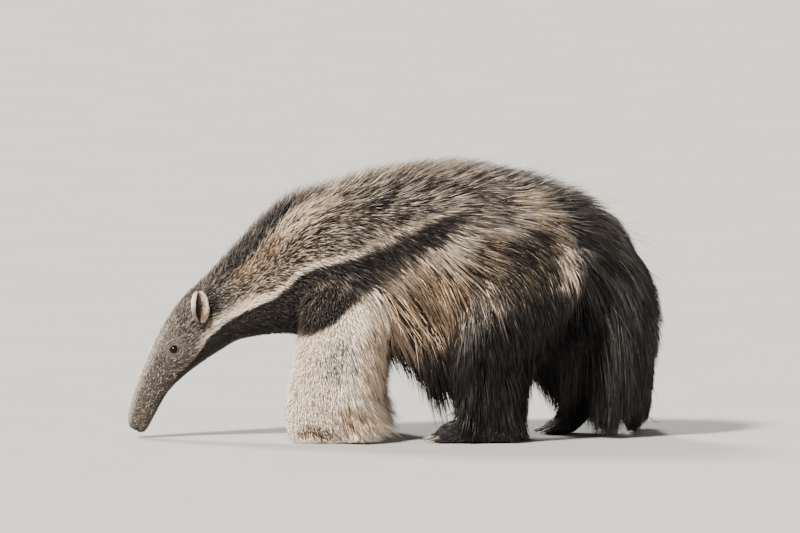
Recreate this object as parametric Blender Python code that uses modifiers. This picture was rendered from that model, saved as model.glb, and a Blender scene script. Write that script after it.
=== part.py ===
"""A life-size giant anteater that walks with its snout to the ground, as a still model.

+X runs towards the tail, the animal's left flank faces -Y and +Z is up. Sizes are in metres.
The body is modelled whole and then parted with thin cuts. Long hair grows from it as flat,
tapered locks. At the end the model is set on the ground with its middle over the origin.
"""

import math
import random

import bmesh
import bpy
from mathutils import Matrix, Vector
from mathutils.bvhtree import BVHTree

GAP = 0.0003
CUT_GROWTH = 0.0004
SHORTEST_EDGE = 0.00005
CLOSING_TRIES = 4
VOXEL = 0.008
# How far the solid lies inside the coat's outer form, as a share of the coat's depth.
CORE = 0.5
BODY_TRIANGLES = 3400
RING_SIDES = 28
TAIL_SIDES = 14
ROWS_BETWEEN = 4
REGION_REACH = 0.3
REGION_STEPS = 8
SIDES = {"left": -1, "right": 1}

# The trunk from the snout's tip to the rump. Each row is one upright section of the coat's outer
# form: x, z, half depth, half width, lean of the section towards the tail in degrees, how much
# narrower its top is, and the coat's depth on the back, on the flank and below.
TRUNK = (
    (-0.5225, 0.0160, 0.012, 0.011, -61, 0.00, 0.001, 0.001, 0.001),
    (-0.5190, 0.0260, 0.022, 0.019, -62, 0.00, 0.001, 0.001, 0.001),
    (-0.5080, 0.0550, 0.027, 0.023, -66, 0.00, 0.001, 0.001, 0.001),
    (-0.4860, 0.1060, 0.033, 0.028, -66, 0.02, 0.002, 0.002, 0.002),
    (-0.4610, 0.1450, 0.042, 0.034, -63, 0.05, 0.002, 0.002, 0.002),
    (-0.4330, 0.1810, 0.054, 0.042, -61, 0.08, 0.003, 0.003, 0.003),
    (-0.4020, 0.2140, 0.065, 0.049, -59, 0.10, 0.004, 0.004, 0.004),
    (-0.3690, 0.2450, 0.074, 0.054, -54, 0.10, 0.006, 0.005, 0.006),
    (-0.3330, 0.2670, 0.085, 0.058, -47, 0.10, 0.010, 0.006, 0.008),
    (-0.2960, 0.2910, 0.099, 0.064, -38, 0.12, 0.018, 0.010, 0.010),
    (-0.2560, 0.3170, 0.119, 0.074, -28, 0.14, 0.028, 0.014, 0.012),
    (-0.2170, 0.3400, 0.142, 0.089, -19, 0.18, 0.036, 0.018, 0.014),
    (-0.1690, 0.3580, 0.165, 0.106, -12, 0.22, 0.042, 0.020, 0.018),
    (-0.1180, 0.3620, 0.176, 0.119, -8, 0.24, 0.042, 0.022, 0.022),
    (-0.0460, 0.3700, 0.187, 0.131, -5, 0.24, 0.040, 0.026, 0.030),
    (0.0340, 0.3810, 0.192, 0.140, -1, 0.22, 0.040, 0.030, 0.034),
    (0.1180, 0.3870, 0.191, 0.144, 2, 0.20, 0.040, 0.034, 0.036),
    (0.2000, 0.3820, 0.184, 0.142, 5, 0.16, 0.040, 0.036, 0.036),
    (0.2790, 0.3760, 0.171, 0.134, 10, 0.12, 0.040, 0.036, 0.036),
    (0.3430, 0.3680, 0.150, 0.118, 14, 0.08, 0.040, 0.036, 0.036),
    (0.3880, 0.3620, 0.118, 0.096, 17, 0.04, 0.036, 0.034, 0.034),
    (0.4150, 0.3560, 0.078, 0.064, 18, 0.00, 0.030, 0.030, 0.030),
    (0.4290, 0.3520, 0.035, 0.030, 18, 0.00, 0.022, 0.022, 0.022),
)

# Legs from the top down, again as the coat's outer form. Each row is x, y on the right side, z,
# half length from front to back, half width, and the coat's depth in front, behind and beside.
FORELEG = (
    (-0.085, 0.058, 0.345, 0.080, 0.042, 0.020, 0.020, 0.010),
    (-0.088, 0.080, 0.300, 0.094, 0.052, 0.016, 0.020, 0.012),
    (-0.090, 0.096, 0.245, 0.100, 0.060, 0.012, 0.030, 0.014),
    (-0.090, 0.104, 0.185, 0.108, 0.062, 0.012, 0.055, 0.016),
    (-0.095, 0.110, 0.130, 0.116, 0.062, 0.012, 0.075, 0.016),
    (-0.104, 0.112, 0.085, 0.114, 0.060, 0.012, 0.070, 0.014),
    (-0.122, 0.112, 0.045, 0.094, 0.056, 0.010, 0.045, 0.010),
    (-0.130, 0.112, 0.015, 0.078, 0.048, 0.004, 0.020, 0.004),
    (-0.130, 0.112, -0.012, 0.062, 0.038, 0.000, 0.000, 0.000),
)
FORELEG_SHIFT = {"left": 0.0, "right": 0.014}
WRIST_PAD = ((-0.078, 0.112, 0.036), (0.040, 0.040, 0.040))

HINDLEG_LEFT = (
    (0.300, 0.070, 0.400, 0.105, 0.045, 0.020, 0.020, 0.010),
    (0.285, 0.092, 0.345, 0.118, 0.058, 0.030, 0.030, 0.016),
    (0.245, 0.106, 0.280, 0.128, 0.068, 0.050, 0.030, 0.020),
    (0.205, 0.112, 0.220, 0.122, 0.070, 0.065, 0.040, 0.022),
    (0.190, 0.112, 0.165, 0.112, 0.066, 0.070, 0.045, 0.022),
    (0.192, 0.111, 0.115, 0.104, 0.060, 0.065, 0.045, 0.020),
    (0.196, 0.110, 0.075, 0.094, 0.054, 0.055, 0.040, 0.018),
    (0.204, 0.109, 0.035, 0.070, 0.044, 0.030, 0.030, 0.010),
    (0.206, 0.108, 0.012, 0.050, 0.034, 0.020, 0.020, 0.006),
)
HINDLEG_RIGHT = (
    (0.310, 0.070, 0.400, 0.105, 0.045, 0.020, 0.020, 0.010),
    (0.312, 0.092, 0.345, 0.115, 0.058, 0.020, 0.020, 0.016),
    (0.314, 0.106, 0.280, 0.112, 0.066, 0.030, 0.030, 0.020),
    (0.322, 0.112, 0.220, 0.098, 0.064, 0.030, 0.035, 0.020),
    (0.340, 0.113, 0.170, 0.084, 0.058, 0.030, 0.035, 0.020),
    (0.362, 0.112, 0.130, 0.068, 0.050, 0.025, 0.030, 0.016),
    (0.386, 0.111, 0.100, 0.052, 0.042, 0.020, 0.025, 0.012),
    (0.398, 0.111, 0.080, 0.036, 0.034, 0.012, 0.014, 0.008),
)
# Hind feet from the heel to the toes: x, z, half height, half width.
HINDFOOT_LEFT = (
    (0.252, 0.026, 0.014, 0.016),
    (0.242, 0.024, 0.028, 0.030),
    (0.205, 0.024, 0.034, 0.036),
    (0.160, 0.020, 0.028, 0.040),
    (0.120, 0.014, 0.022, 0.042),
    (0.102, 0.012, 0.016, 0.036),
)
HINDFOOT_RIGHT = (
    (0.424, 0.112, 0.012, 0.014),
    (0.416, 0.102, 0.024, 0.028),
    (0.398, 0.072, 0.030, 0.034),
    (0.376, 0.038, 0.026, 0.038),
    (0.350, 0.014, 0.021, 0.042),
    (0.326, 0.010, 0.015, 0.037),
)
HINDFOOT_Y = 0.109
TOE_COUNT = 5
TOE_HALF_WIDTH = 0.0085
TOE_HALF_HEIGHT = 0.011
TOE_LENGTH = 0.022
TOE_Z = 0.010
# Where the toes start behind the last row but one, and how far the outer ones stand back from it.
TOE_START = 0.016
TOE_ARC = 0.014
TOE_FAN = 0.25
# The front claws from the first to the fourth: length and half thickness.
FRONT_CLAWS = ((0.034, 0.0050), (0.060, 0.0070), (0.066, 0.0080), (0.036, 0.0050))
FRONT_CLAW_START = (-0.186, 0.078, 0.022)
FRONT_CLAW_STEP = 0.022
FRONT_CLAW_WAY = (0.5, 0.8, -0.1)
FRONT_CLAW_BEND = Vector((0.9, 0, -0.05))
HIND_CLAW = (0.026, 0.0042)
HIND_CLAW_BEND = Vector((0, 0, -0.55))
# A claw starts at this share of its toe's length and this far above the toe's middle.
HIND_CLAW_START = (0.75, 0.003)
CLAW_STEPS = 3
CLAW_CURL = 0.9
CLAW_DEPTH = 1.25

# The tail: x, y, z, half width and half depth of the coat's outer form, and the coat's depth.
TAIL = (
    (0.345, 0.000, 0.425, 0.060, 0.066, 0.010),
    (0.395, 0.000, 0.405, 0.064, 0.070, 0.016),
    (0.440, 0.000, 0.355, 0.066, 0.074, 0.026),
    (0.470, 0.000, 0.295, 0.066, 0.078, 0.034),
    (0.486, 0.002, 0.230, 0.062, 0.072, 0.034),
    (0.494, 0.012, 0.165, 0.058, 0.066, 0.032),
    (0.500, 0.045, 0.110, 0.054, 0.058, 0.030),
    (0.505, 0.100, 0.076, 0.048, 0.052, 0.028),
    (0.508, 0.156, 0.064, 0.038, 0.042, 0.024),
    (0.508, 0.212, 0.054, 0.016, 0.020, 0.010),
)
TAIL_CUTS = (3.55, 6.1)

# The locks on neck and torso, in tiers along the body: angle from the top, first and last place
# among the trunk's rows, how many on a side, length, half width, how far they point downwards at
# the first and the last place, how far the tips stand off the core, and how freely they hang.
TRUNK_TIERS = (
    (6, 9.4, 19.4, 7, 0.125, 0.026, 0, 4, 0.021, 0.0),
    (27, 9.9, 19.4, 9, 0.140, 0.034, 8, 34, 0.020, 0.0),
    (54, 10.2, 19.4, 9, 0.145, 0.034, 18, 62, 0.017, 0.1),
    (82, 10.9, 19.4, 8, 0.165, 0.034, 32, 78, 0.016, 0.25),
    (110, 13.4, 19.5, 6, 0.205, 0.036, 48, 84, 0.018, 0.6),
    (136, 14.2, 17.4, 4, 0.200, 0.036, 50, 70, 0.020, 0.8),
)
# The locks on each leg: first and last share of its height from the top, how many, turn round the
# leg from its front, length, half width, tips' stand-off and how freely they hang.
FORELEG_TIERS = (
    (0.20, 0.78, 5, 165, 0.120, 0.027, 0.050, 0.35),
    (0.24, 0.80, 4, 118, 0.090, 0.026, 0.016, 0.3),
    (0.26, 0.80, 4, 66, 0.075, 0.025, 0.008, 0.2),
)
HINDLEG_TIERS = (
    (0.26, 0.80, 3, 24, 0.125, 0.028, 0.034, 0.7),
    (0.30, 0.80, 3, 78, 0.120, 0.030, 0.018, 0.5),
    (0.34, 0.80, 3, 140, 0.120, 0.028, 0.026, 0.7),
)
# The locks along the tail: turn round it from its upper side, first and last place among its
# rows, how many, length at both ends, half width, tips' stand-off and how freely they hang.
TAIL_TIERS = (
    (0, 0.9, 8.9, 9, 0.170, 0.110, 0.031, 0.050, 0.45),
    (68, 0.7, 8.8, 7, 0.220, 0.110, 0.032, 0.024, 0.8),
    (-68, 0.7, 8.8, 7, 0.220, 0.110, 0.032, 0.024, 0.8),
    (136, 1.4, 7.0, 4, 0.200, 0.090, 0.028, 0.020, 1.0),
    (-136, 1.4, 7.0, 4, 0.200, 0.090, 0.028, 0.020, 1.0),
)
LOCK_STEPS = 3
LONG_LOCK = 0.15
LOCK_SINK = 0.014
LOCK_EDGE_SINK = 0.004
LOCK_RIDGE = 0.009
# What is left of a lock's ridge at its tip, and of its width at its root.
RIDGE_LEFT = 0.45
ROOT_WIDTH = 0.72
TAPER_POWER = 2.4
LOCK_CLEAR = 0.003
LOWEST_TIP = 0.012
FLOOR_CLEAR = 0.003
# How strongly a lock that hangs is pulled down, how strongly one that doesn't is drawn to the body,
# and how quickly its flat side follows the body.
HANG_PULL = 1.6
CLING = 0.7
FOLLOW = 0.6
# The spread of the locks: turn about the root and round the body in degrees, then shares of the
# even step, the length, the stand-off and the width.
TURN_SPREAD = 9
ROUND_SPREAD = 7
STEP_SPREAD = 0.2
LENGTH_SPREAD = (0.85, 1.15)
RISE_SPREAD = (0.8, 1.2)
WIDTH_SPREAD = (0.88, 1.08)
# The trunk's locks start at this share of their size at the neck and reach all of it at this share
# of their tier.
NECK_SIZE = 0.62
FULL_SIZE_AT = 0.4
# How much a lock's heading leans away from the leg or the tail, and back along the leg.
LEG_STAND = 0.3
LEG_BACK = 0.35
TAIL_STAND = 0.25
ROOT_SEARCH = 0.3
# A point further than this from the nearest facet is taken to be outside the body.
DEEPEST = 0.04
LOCK_SEED = 21
EASED_ANGLE = 6.0
COAT_ORDER = (
    "torso", "neck", "hindleg_left", "hindleg_right", "foreleg_left", "foreleg_right",
    "tail_base", "tail_middle", "tail_end",
)

EYE_PLACE = (-0.441, 0.0340, 0.184)
EYE_RADIUS = 0.0085
# Each eye's lids are one ring, longer along the head than across it.
LID_RING = (0.0085, 0.0026)
LID_STRETCH = 1.25
LID_FORWARD = 0.0050
# The lids' turns about x, y and z, the first and the last of them mirrored on the other side.
LID_TURNS = (12, -50, 11)
SNOUT_WAY = Vector((-0.35, 0, -0.94)).normalized()
SNOUT_UP = Vector((-0.94, 0, 0.35)).normalized()
NOSTRIL_PLACE = (-0.5335, 0.0062, 0.0230)
NOSTRIL_HALF = (0.0042, 0.0030, 0.0024)
NOSTRIL_LEAN = 55
MOUTH_PLACE = (-0.5180, 0.0, 0.0170)
MOUTH_SIZE = (0.030, 0.040, 0.0014)
EAR_PLACE = (-0.388, 0.055, 0.270)
EAR_HALF = (0.0150, 0.0150, 0.0310)
EAR_WALL = 0.003
# The ear is part of a ball: cut off past this share of its radius, and narrower towards its top.
EAR_OPENING = 0.25
EAR_NARROWS = 0.25
# How far the ear leans outwards, backwards, and how far its cup turns forwards.
EAR_TURNS = (20, 4, 38)

HIDE = {
    "head": ((0.26, 0.22, 0.20), 0.75),
    "neck": ((0.30, 0.25, 0.21), 0.85),
    "torso": ((0.24, 0.20, 0.17), 0.85),
    "foreleg": ((0.62, 0.55, 0.46), 0.85),
    "hindleg": ((0.035, 0.03, 0.03), 0.85),
    "tail": ((0.05, 0.045, 0.045), 0.85),
    "ear": ((0.50, 0.42, 0.34), 0.8),
    "eye": ((0.012, 0.008, 0.006), 0.08),
    "claw": ((0.10, 0.08, 0.065), 0.4),
}


def clear_scene():
    """Starts from an empty scene with one collection for the animal."""
    for old in list(bpy.data.objects):
        bpy.data.objects.remove(old)
    made = bpy.data.collections.new("giant_anteater")
    bpy.context.scene.collection.children.link(made)
    return made


ANIMAL = clear_scene()


def hide_material(kind):
    """The plain colour of one kind of surface, made once."""
    found = bpy.data.materials.get(kind)
    if found:
        return found
    colour, roughness = HIDE[kind]
    made = bpy.data.materials.new(kind)
    made.use_nodes = True
    shader = made.node_tree.nodes["Principled BSDF"]
    shader.inputs["Base Color"].default_value = (*colour, 1.0)
    shader.inputs["Roughness"].default_value = roughness
    shader.inputs["Metallic"].default_value = 0.0
    return made


def object_from(name, bm, kind=None):
    """A mesh object from a bmesh, in the animal's collection."""
    mesh = bpy.data.meshes.new(name)
    bmesh.ops.recalc_face_normals(bm, faces=bm.faces)
    bm.to_mesh(mesh)
    bm.free()
    made = bpy.data.objects.new(name, mesh)
    ANIMAL.objects.link(made)
    if kind:
        mesh.materials.append(hide_material(kind))
    return made


def discard(*objects):
    for old in objects:
        bpy.data.objects.remove(old)


def apply_modifiers(obj):
    """Replaces the object's mesh by its evaluated one."""
    bpy.context.view_layer.update()
    graph = bpy.context.evaluated_depsgraph_get()
    mesh = bpy.data.meshes.new_from_object(obj.evaluated_get(graph))
    obj.modifiers.clear()
    obj.data = mesh


def keep_largest(obj):
    """Keeps only the largest closed surface of a mesh."""
    bm = bmesh.new()
    bm.from_mesh(obj.data)
    left = set(bm.faces)
    shells = []
    while left:
        shell, front = set(), [left.pop()]
        while front:
            face = front.pop()
            shell.add(face)
            for edge in face.edges:
                for other in edge.link_faces:
                    if other in left:
                        left.remove(other)
                        front.append(other)
        shells.append(shell)
    if len(shells) > 1:
        largest = max(shells, key=lambda s: sum(f.calc_area() for f in s))
        spare = [f for s in shells if s is not largest for f in s]
        bmesh.ops.delete(bm, geom=spare, context="FACES")
        bm.to_mesh(obj.data)
    bm.free()


def combine(obj, operation, others, solver="EXACT", keep=False):
    """Applies one Boolean of the others, as a collection, to the object."""
    group = bpy.data.collections.new("operands")
    bpy.context.scene.collection.children.link(group)
    for other in others:
        group.objects.link(other)
    modifier = obj.modifiers.new(operation.lower(), "BOOLEAN")
    modifier.operation = operation
    modifier.solver = solver
    modifier.operand_type = "COLLECTION"
    modifier.collection = group
    apply_modifiers(obj)
    if keep:
        for other in others:
            group.objects.unlink(other)
    else:
        discard(*others)
    bpy.data.collections.remove(group)
    keep_largest(obj)


def drop_spare_corners(bm):
    """Removes corners that only lie along one edge."""
    bmesh.ops.dissolve_verts(bm, verts=[v for v in bm.verts if len(v.link_edges) == 2])


def ease_facets(obj, degrees):
    """Joins facets that are nearly level with each other."""
    bm = bmesh.new()
    bm.from_mesh(obj.data)
    drop_spare_corners(bm)
    bmesh.ops.dissolve_limit(bm, angle_limit=math.radians(degrees), verts=bm.verts, edges=bm.edges)
    drop_spare_corners(bm)
    bmesh.ops.triangulate(bm, faces=bm.faces)
    bm.to_mesh(obj.data)
    bm.free()


def close_short_edges(bm):
    """Merges the two ends of each very short edge, where the skin stays whole."""
    for edge in [e for e in bm.edges if e.calc_length() < SHORTEST_EDGE]:
        if not edge.is_valid:
            continue
        ends = edge.verts[:]
        near, far = ({e.other_vert(end) for e in end.link_edges} for end in ends)
        if len(near & far) == 2:
            bmesh.ops.pointmerge(bm, verts=ends, merge_co=(ends[0].co + ends[1].co) / 2)


def close_facets(obj):
    """Cuts all facets into triangles, with no edge between more than two of them."""
    bm = bmesh.new()
    bm.from_mesh(obj.data)
    drop_spare_corners(bm)
    for _ in range(CLOSING_TRIES):
        trial = bm.copy()
        trial.verts.ensure_lookup_table()
        bmesh.ops.triangulate(trial, faces=trial.faces)
        doubled = [[v.index for v in edge.verts] for edge in trial.edges if len(edge.link_faces) > 2]
        if not doubled:
            break
        bm.verts.ensure_lookup_table()
        wide = {
            face
            for a, b in doubled
            for face in bm.verts[a].link_faces
            if len(face.verts) > 3 and bm.verts[b] in face.verts
        }
        bmesh.ops.poke(bm, faces=list(wide))
        bm.verts.index_update()
        trial.free()
    close_short_edges(trial)
    trial.to_mesh(obj.data)
    trial.free()
    bm.free()


def copy_of(obj, name="copy"):
    made = bpy.data.objects.new(name, obj.data.copy())
    ANIMAL.objects.link(made)
    return made


def grown(obj, by=CUT_GROWTH):
    """A copy of a solid that stands proud of it all round, to cut its neighbour clear."""
    made = copy_of(obj, "grown")
    swell = made.modifiers.new("swell", "DISPLACE")
    swell.strength = by
    swell.mid_level = 0.0
    apply_modifiers(made)
    return made


def smooth_rows(rows, between=ROWS_BETWEEN):
    """The rows of a size table with more rows between them, on a Catmull-Rom curve."""
    made = []
    last = len(rows) - 1
    for i in range(last):
        a, b = rows[max(i - 1, 0)], rows[i]
        c, d = rows[i + 1], rows[min(i + 2, last)]
        for step in range(between):
            made.append(blend_rows(a, b, c, d, step / between))
    made.append(tuple(rows[-1]))
    return made


def blend_rows(a, b, c, d, t):
    return tuple(
        0.5 * (2 * q + (r - p) * t + (2 * p - 5 * q + 4 * r - s) * t * t + (3 * (q - r) + s - p) * t**3)
        for p, q, r, s in zip(a, b, c, d)
    )


def row_at(rows, place):
    """A size table read at any place between two rows."""
    last = len(rows) - 1
    i = min(int(place), last - 1)
    return blend_rows(rows[max(i - 1, 0)], rows[i], rows[i + 1], rows[min(i + 2, last)], place - i)


def oval(centre, up, across, deep_up, deep_down, wide, narrow=0.0, sides=RING_SIDES):
    """The points of one egg-shaped section."""
    points = []
    for i in range(sides):
        turn = 2 * math.pi * i / sides
        rise = math.sin(turn)
        deep = deep_up if rise > 0 else deep_down
        points.append(centre + up * (rise * deep) + across * (math.cos(turn) * wide * (1 - narrow * rise)))
    return points


def loft(name, rings, kind=None):
    """A closed skin over rings of points, with a cap on each end."""
    bm = bmesh.new()
    loops = [[bm.verts.new(p) for p in ring] for ring in rings]
    for near, far in zip(loops, loops[1:]):
        for i, corner in enumerate(near):
            j = (i + 1) % len(near)
            bm.faces.new((corner, near[j], far[j], far[i]))
    bm.faces.new(reversed(loops[0]))
    bm.faces.new(loops[-1])
    return object_from(name, bm, kind)


def lean_vector(degrees):
    lean = math.radians(degrees)
    return Vector((math.sin(lean), 0, math.cos(lean)))


def trunk_ring(row, share=CORE):
    """One section of the trunk, this share of the coat's depth inside the outer form."""
    x, z, deep, wide, lean, narrow, top, flank, below = row
    return oval(
        Vector((x, 0, z)),
        lean_vector(lean),
        Vector((0, 1, 0)),
        deep - share * top,
        deep - share * below,
        wide - share * flank,
        narrow,
    )


def make_trunk():
    return loft("trunk", [trunk_ring(row) for row in smooth_rows(TRUNK)])


def leg_ring(row, side, shift=0.0, share=CORE):
    """One level section of a leg, with its front towards -X."""
    x, y, z, long, wide, front, rear, beside = row
    ahead = x - long + share * front
    behind = x + long - share * rear
    centre = Vector(((ahead + behind) / 2 + shift, y * side, z))
    half = (behind - ahead) / 2
    return oval(centre, Vector((-1, 0, 0)), Vector((0, 1, 0)), half, half, wide - share * beside)


def make_leg(rows, side, shift=0.0):
    return loft("leg", [leg_ring(row, side, shift) for row in smooth_rows(rows, 3)])


def make_wrist_pad(side, shift):
    (x, y, z), radii = WRIST_PAD
    bm = bmesh.new()
    place = Matrix.Translation((x + shift, y * side, z)) @ Matrix.Diagonal((*radii, 1.0))
    bmesh.ops.create_uvsphere(bm, u_segments=20, v_segments=12, radius=1.0, matrix=place)
    return object_from("wrist_pad", bm)


def make_hindfoot(rows, side):
    """A plantigrade foot with its five toes, along rows from the heel to the toes."""
    rings = []
    fine = smooth_rows(rows, 3)
    for i, (x, z, high, wide) in enumerate(fine):
        ahead, behind = fine[min(i + 1, len(fine) - 1)], fine[max(i - 1, 0)]
        along = Vector((ahead[0] - behind[0], 0, ahead[1] - behind[1])).normalized()
        up = Vector((along.z, 0, -along.x))
        rings.append(oval(Vector((x, HINDFOOT_Y * side, z)), up, Vector((0, 1, 0)), high, high, wide))
    return loft("hindfoot", rings)


def toe_places(rows, side):
    """Where each toe starts, and how it points."""
    x, _, _, wide = rows[-2]
    for i in range(TOE_COUNT):
        spread = i / (TOE_COUNT - 1) * 2 - 1
        y = side * (HINDFOOT_Y + spread * (wide - TOE_HALF_WIDTH))
        root = Vector((x - TOE_START + TOE_ARC * spread**2, y, TOE_Z))
        yield root, Vector((-1, side * spread * TOE_FAN, -0.05)).normalized()


def make_toes(rows, side):
    toes = []
    for root, way in toe_places(rows, side):
        across = Vector((0, 0, 1)).cross(way).normalized()
        rings = []
        for t, size in ((-0.6, 1.0), (0.3, 1.0), (0.8, 0.85), (1.0, 0.5)):
            high = TOE_HALF_HEIGHT * size
            centre = root + way * (TOE_LENGTH * t)
            wide = TOE_HALF_WIDTH * size
            rings.append(oval(centre, Vector((0, 0, 1)), across, high, high, wide, sides=12))
        toes.append(loft("toe", rings))
    return toes


def tail_ring(rows, i, share=CORE, sides=RING_SIDES):
    x, y, z, wide, deep, coat = rows[i]
    ahead, behind = rows[min(i + 1, len(rows) - 1)], rows[max(i - 1, 0)]
    along = (Vector(ahead[:3]) - Vector(behind[:3])).normalized()
    across = tail_across(along)
    up = across.cross(along).normalized()
    deep -= share * coat
    return oval(Vector((x, y, z)), up, across, deep, deep, wide - share * coat, sides=sides)


def tail_place(place):
    """A point on the tail's path and the path's direction there."""
    before, here, after = (Vector(row_at(TAIL, place + step)[:3]) for step in (-0.2, 0.0, 0.2))
    return here, (after - before).normalized()


def tail_across(along):
    """The level direction across the tail, which turns smoothly as the tail turns."""
    level = Vector((-along.y, along.x, 0)) + Vector((0, 0.35, 0))
    level -= along * level.dot(along)
    return level.normalized()


def make_tail():
    rows = smooth_rows(TAIL, 2)
    return loft("tail", [tail_ring(rows, i, sides=TAIL_SIDES) for i in range(len(rows))], "tail")


def prism(name, outline, axis, low, high):
    """An outline in the plane across an axis, drawn out along that axis from low to high."""
    order = {"x": (2, 0, 1), "y": (0, 2, 1)}[axis]
    bm = bmesh.new()
    corners = []
    for a, b in outline:
        values = (a, b, low)
        corners.append(bm.verts.new([values[i] for i in order]))
    face = bm.faces.new(corners)
    grown_faces = bmesh.ops.extrude_face_region(bm, geom=[face])["geom"]
    way = Vector([(high - low) if i == 2 else 0.0 for i in order])
    bmesh.ops.translate(bm, vec=way, verts=[v for v in grown_faces if isinstance(v, bmesh.types.BMVert)])
    return object_from(name, bm)


def make_whole_body():
    """Trunk and legs as one smooth skin, flat under the feet."""
    forms = [make_trunk()]
    for side, way in SIDES.items():
        shift = FORELEG_SHIFT[side]
        forms.append(make_leg(FORELEG, way, shift))
        forms.append(make_wrist_pad(way, shift))
    for side, leg, foot in (
        ("left", HINDLEG_LEFT, HINDFOOT_LEFT),
        ("right", HINDLEG_RIGHT, HINDFOOT_RIGHT),
    ):
        forms.append(make_leg(leg, SIDES[side]))
        forms.append(make_hindfoot(foot, SIDES[side]))
        forms.extend(make_toes(foot, SIDES[side]))
    bm = bmesh.new()
    for form in forms:
        bm.from_mesh(form.data)
    discard(*forms)
    body = object_from("body", bm)
    skin = body.modifiers.new("skin", "REMESH")
    skin.mode = "VOXEL"
    skin.voxel_size = VOXEL
    ease = body.modifiers.new("ease", "SMOOTH")
    ease.factor = 0.5
    ease.iterations = 4
    apply_modifiers(body)
    thin_out(body, BODY_TRIANGLES)
    floor = prism("floor", ((-1, -0.2), (1, -0.2), (1, 0.0), (-1, 0.0)), "y", -1, 1)
    combine(body, "DIFFERENCE", [floor])
    return body


def thin_out(body, triangles):
    """Fewer triangles, where the form is plain."""
    count = sum(len(p.vertices) - 2 for p in body.data.polygons)
    fewer = body.modifiers.new("fewer", "DECIMATE")
    fewer.ratio = triangles / count
    apply_modifiers(body)


# The regions that part the body. The leg regions are outlines in y and z, drawn out along x.
LEG_OUTLINE = ((0.004, -0.05), (0.004, 0.155), (0.030, 0.178), (0.19, 0.335), (0.35, 0.335), (0.35, -0.05))
HINDLEG_START = {"left": 0.09, "right": 0.17}
FOOT_TOP = {"fore": 0.070, "hind_left": 0.062, "hind_right": 0.095}
HEAD_END = 8.35
NECK_END = 11.6


def leg_region(side, low, high, top=None):
    way = SIDES[side]
    outline = LEG_OUTLINE
    if top is not None:
        outline = ((0.004, -0.05), (0.004, top), (0.35, top), (0.35, -0.05))
    points = [(y * way, z) for y, z in outline]
    return prism("region", points if way > 0 else points[::-1], "x", low, high)


def take(body, region, name, kind):
    """Parts the region's share of the body off as a node, leaving a thin gap."""
    node = copy_of(body, name)
    node.data.materials.clear()
    node.data.materials.append(hide_material(kind))
    wide = grown(region, GAP)
    combine(node, "INTERSECT", [region])
    combine(body, "DIFFERENCE", [wide])
    return node


def part_body(body):
    """Splits the whole skin into its named nodes. What is left over is the torso."""
    nodes = {}
    for side in SIDES:
        shift = FORELEG_SHIFT[side]
        leg = take(body, leg_region(side, -0.235 + shift, 0.035 + shift), "foreleg_" + side, "foreleg")
        foot = take(leg, leg_region(side, -0.30, 0.10, FOOT_TOP["fore"]), "forefoot_" + side, "foreleg")
        nodes[leg.name], nodes[foot.name] = leg, foot
        leg = take(body, leg_region(side, HINDLEG_START[side], 0.47), "hindleg_" + side, "hindleg")
        region = leg_region(side, 0.06, 0.47, FOOT_TOP["hind_" + side])
        foot = take(leg, region, "hindfoot_" + side, "hindleg")
        nodes[leg.name], nodes[foot.name] = leg, foot
    nodes["head"] = take(body, long_region(0, HEAD_END, 0.16, 0.13), "head", "head")
    nodes["neck"] = take(body, long_region(HEAD_END - 0.6, NECK_END, 0.24, 0.18), "neck", "neck")
    body.name = "torso"
    body.data.materials.append(hide_material("torso"))
    nodes["torso"] = body
    return nodes


def long_region(first, last, half_up, half_down):
    """A region round the trunk that follows its bend from one section to another."""
    rings = []
    for i in range(REGION_STEPS + 1):
        x, z, _, _, lean = row_at(TRUNK, first + (last - first) * i / REGION_STEPS)[:5]
        up = lean_vector(lean)
        centre = Vector((x, 0, z))
        if first == 0 and i == 0:
            centre += Vector((-0.03, 0, -0.06))
        sides = ((half_up, 1), (half_up, -1), (-half_down, -1), (-half_down, 1))
        rings.append([centre + up * a + Vector((0, b * REGION_REACH, 0)) for a, b in sides])
    return loft("region", rings)


def part_tail(torso):
    """The tail in three lengths, the first of them against the rump."""
    tail = make_tail()
    tail.name = "tail_base"
    combine(tail, "DIFFERENCE", [grown(torso, GAP)])
    nodes = {"tail_base": tail}
    pieces = [tail]
    for number, cut in enumerate(TAIL_CUTS):
        name = ("tail_middle", "tail_end")[number]
        region = tail_region(cut)
        piece = take(pieces[-1], region, name, "tail")
        nodes[name] = piece
        pieces.append(piece)
    return nodes


def tail_region(cut):
    """Everything past one place on the tail."""
    here, along = tail_place(cut)
    across = tail_across(along)
    up = across.cross(along)
    rings = []
    for centre in (here, here + along):
        rings.append([centre + up * a + across * b for a, b in ((1, 1), (1, -1), (-1, -1), (-1, 1))])
    return loft("region", rings)


def make_eye(side):
    x, y, z = EYE_PLACE
    bm = bmesh.new()
    place = Matrix.Translation((x, y * SIDES[side], z))
    bmesh.ops.create_uvsphere(bm, u_segments=10, v_segments=7, radius=EYE_RADIUS, matrix=place)
    return object_from("eye_" + side, bm, "eye")


def make_lids(side):
    """A ring of skin round the eye, level with the head's side."""
    x, y, z = EYE_PLACE
    way = SIDES[side]
    bpy.ops.mesh.primitive_torus_add(
        major_radius=LID_RING[0], minor_radius=LID_RING[1], major_segments=12, minor_segments=5
    )
    lids = bpy.context.object
    lids.name = "lids"
    for group in list(lids.users_collection):
        group.objects.unlink(lids)
    ANIMAL.objects.link(lids)
    stretch = Matrix.Diagonal((LID_STRETCH, 1, 1, 1))
    stand = Matrix.Rotation(math.radians(90 + LID_TURNS[0] * way), 4, "X")
    slope = Matrix.Rotation(math.radians(LID_TURNS[1]), 4, "Y")
    swing = Matrix.Rotation(math.radians(LID_TURNS[2] * way), 4, "Z")
    place = Matrix.Translation((x, (y + LID_FORWARD) * way, z))
    lids.data.transform(place @ swing @ slope @ stand @ stretch)
    return lids


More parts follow.
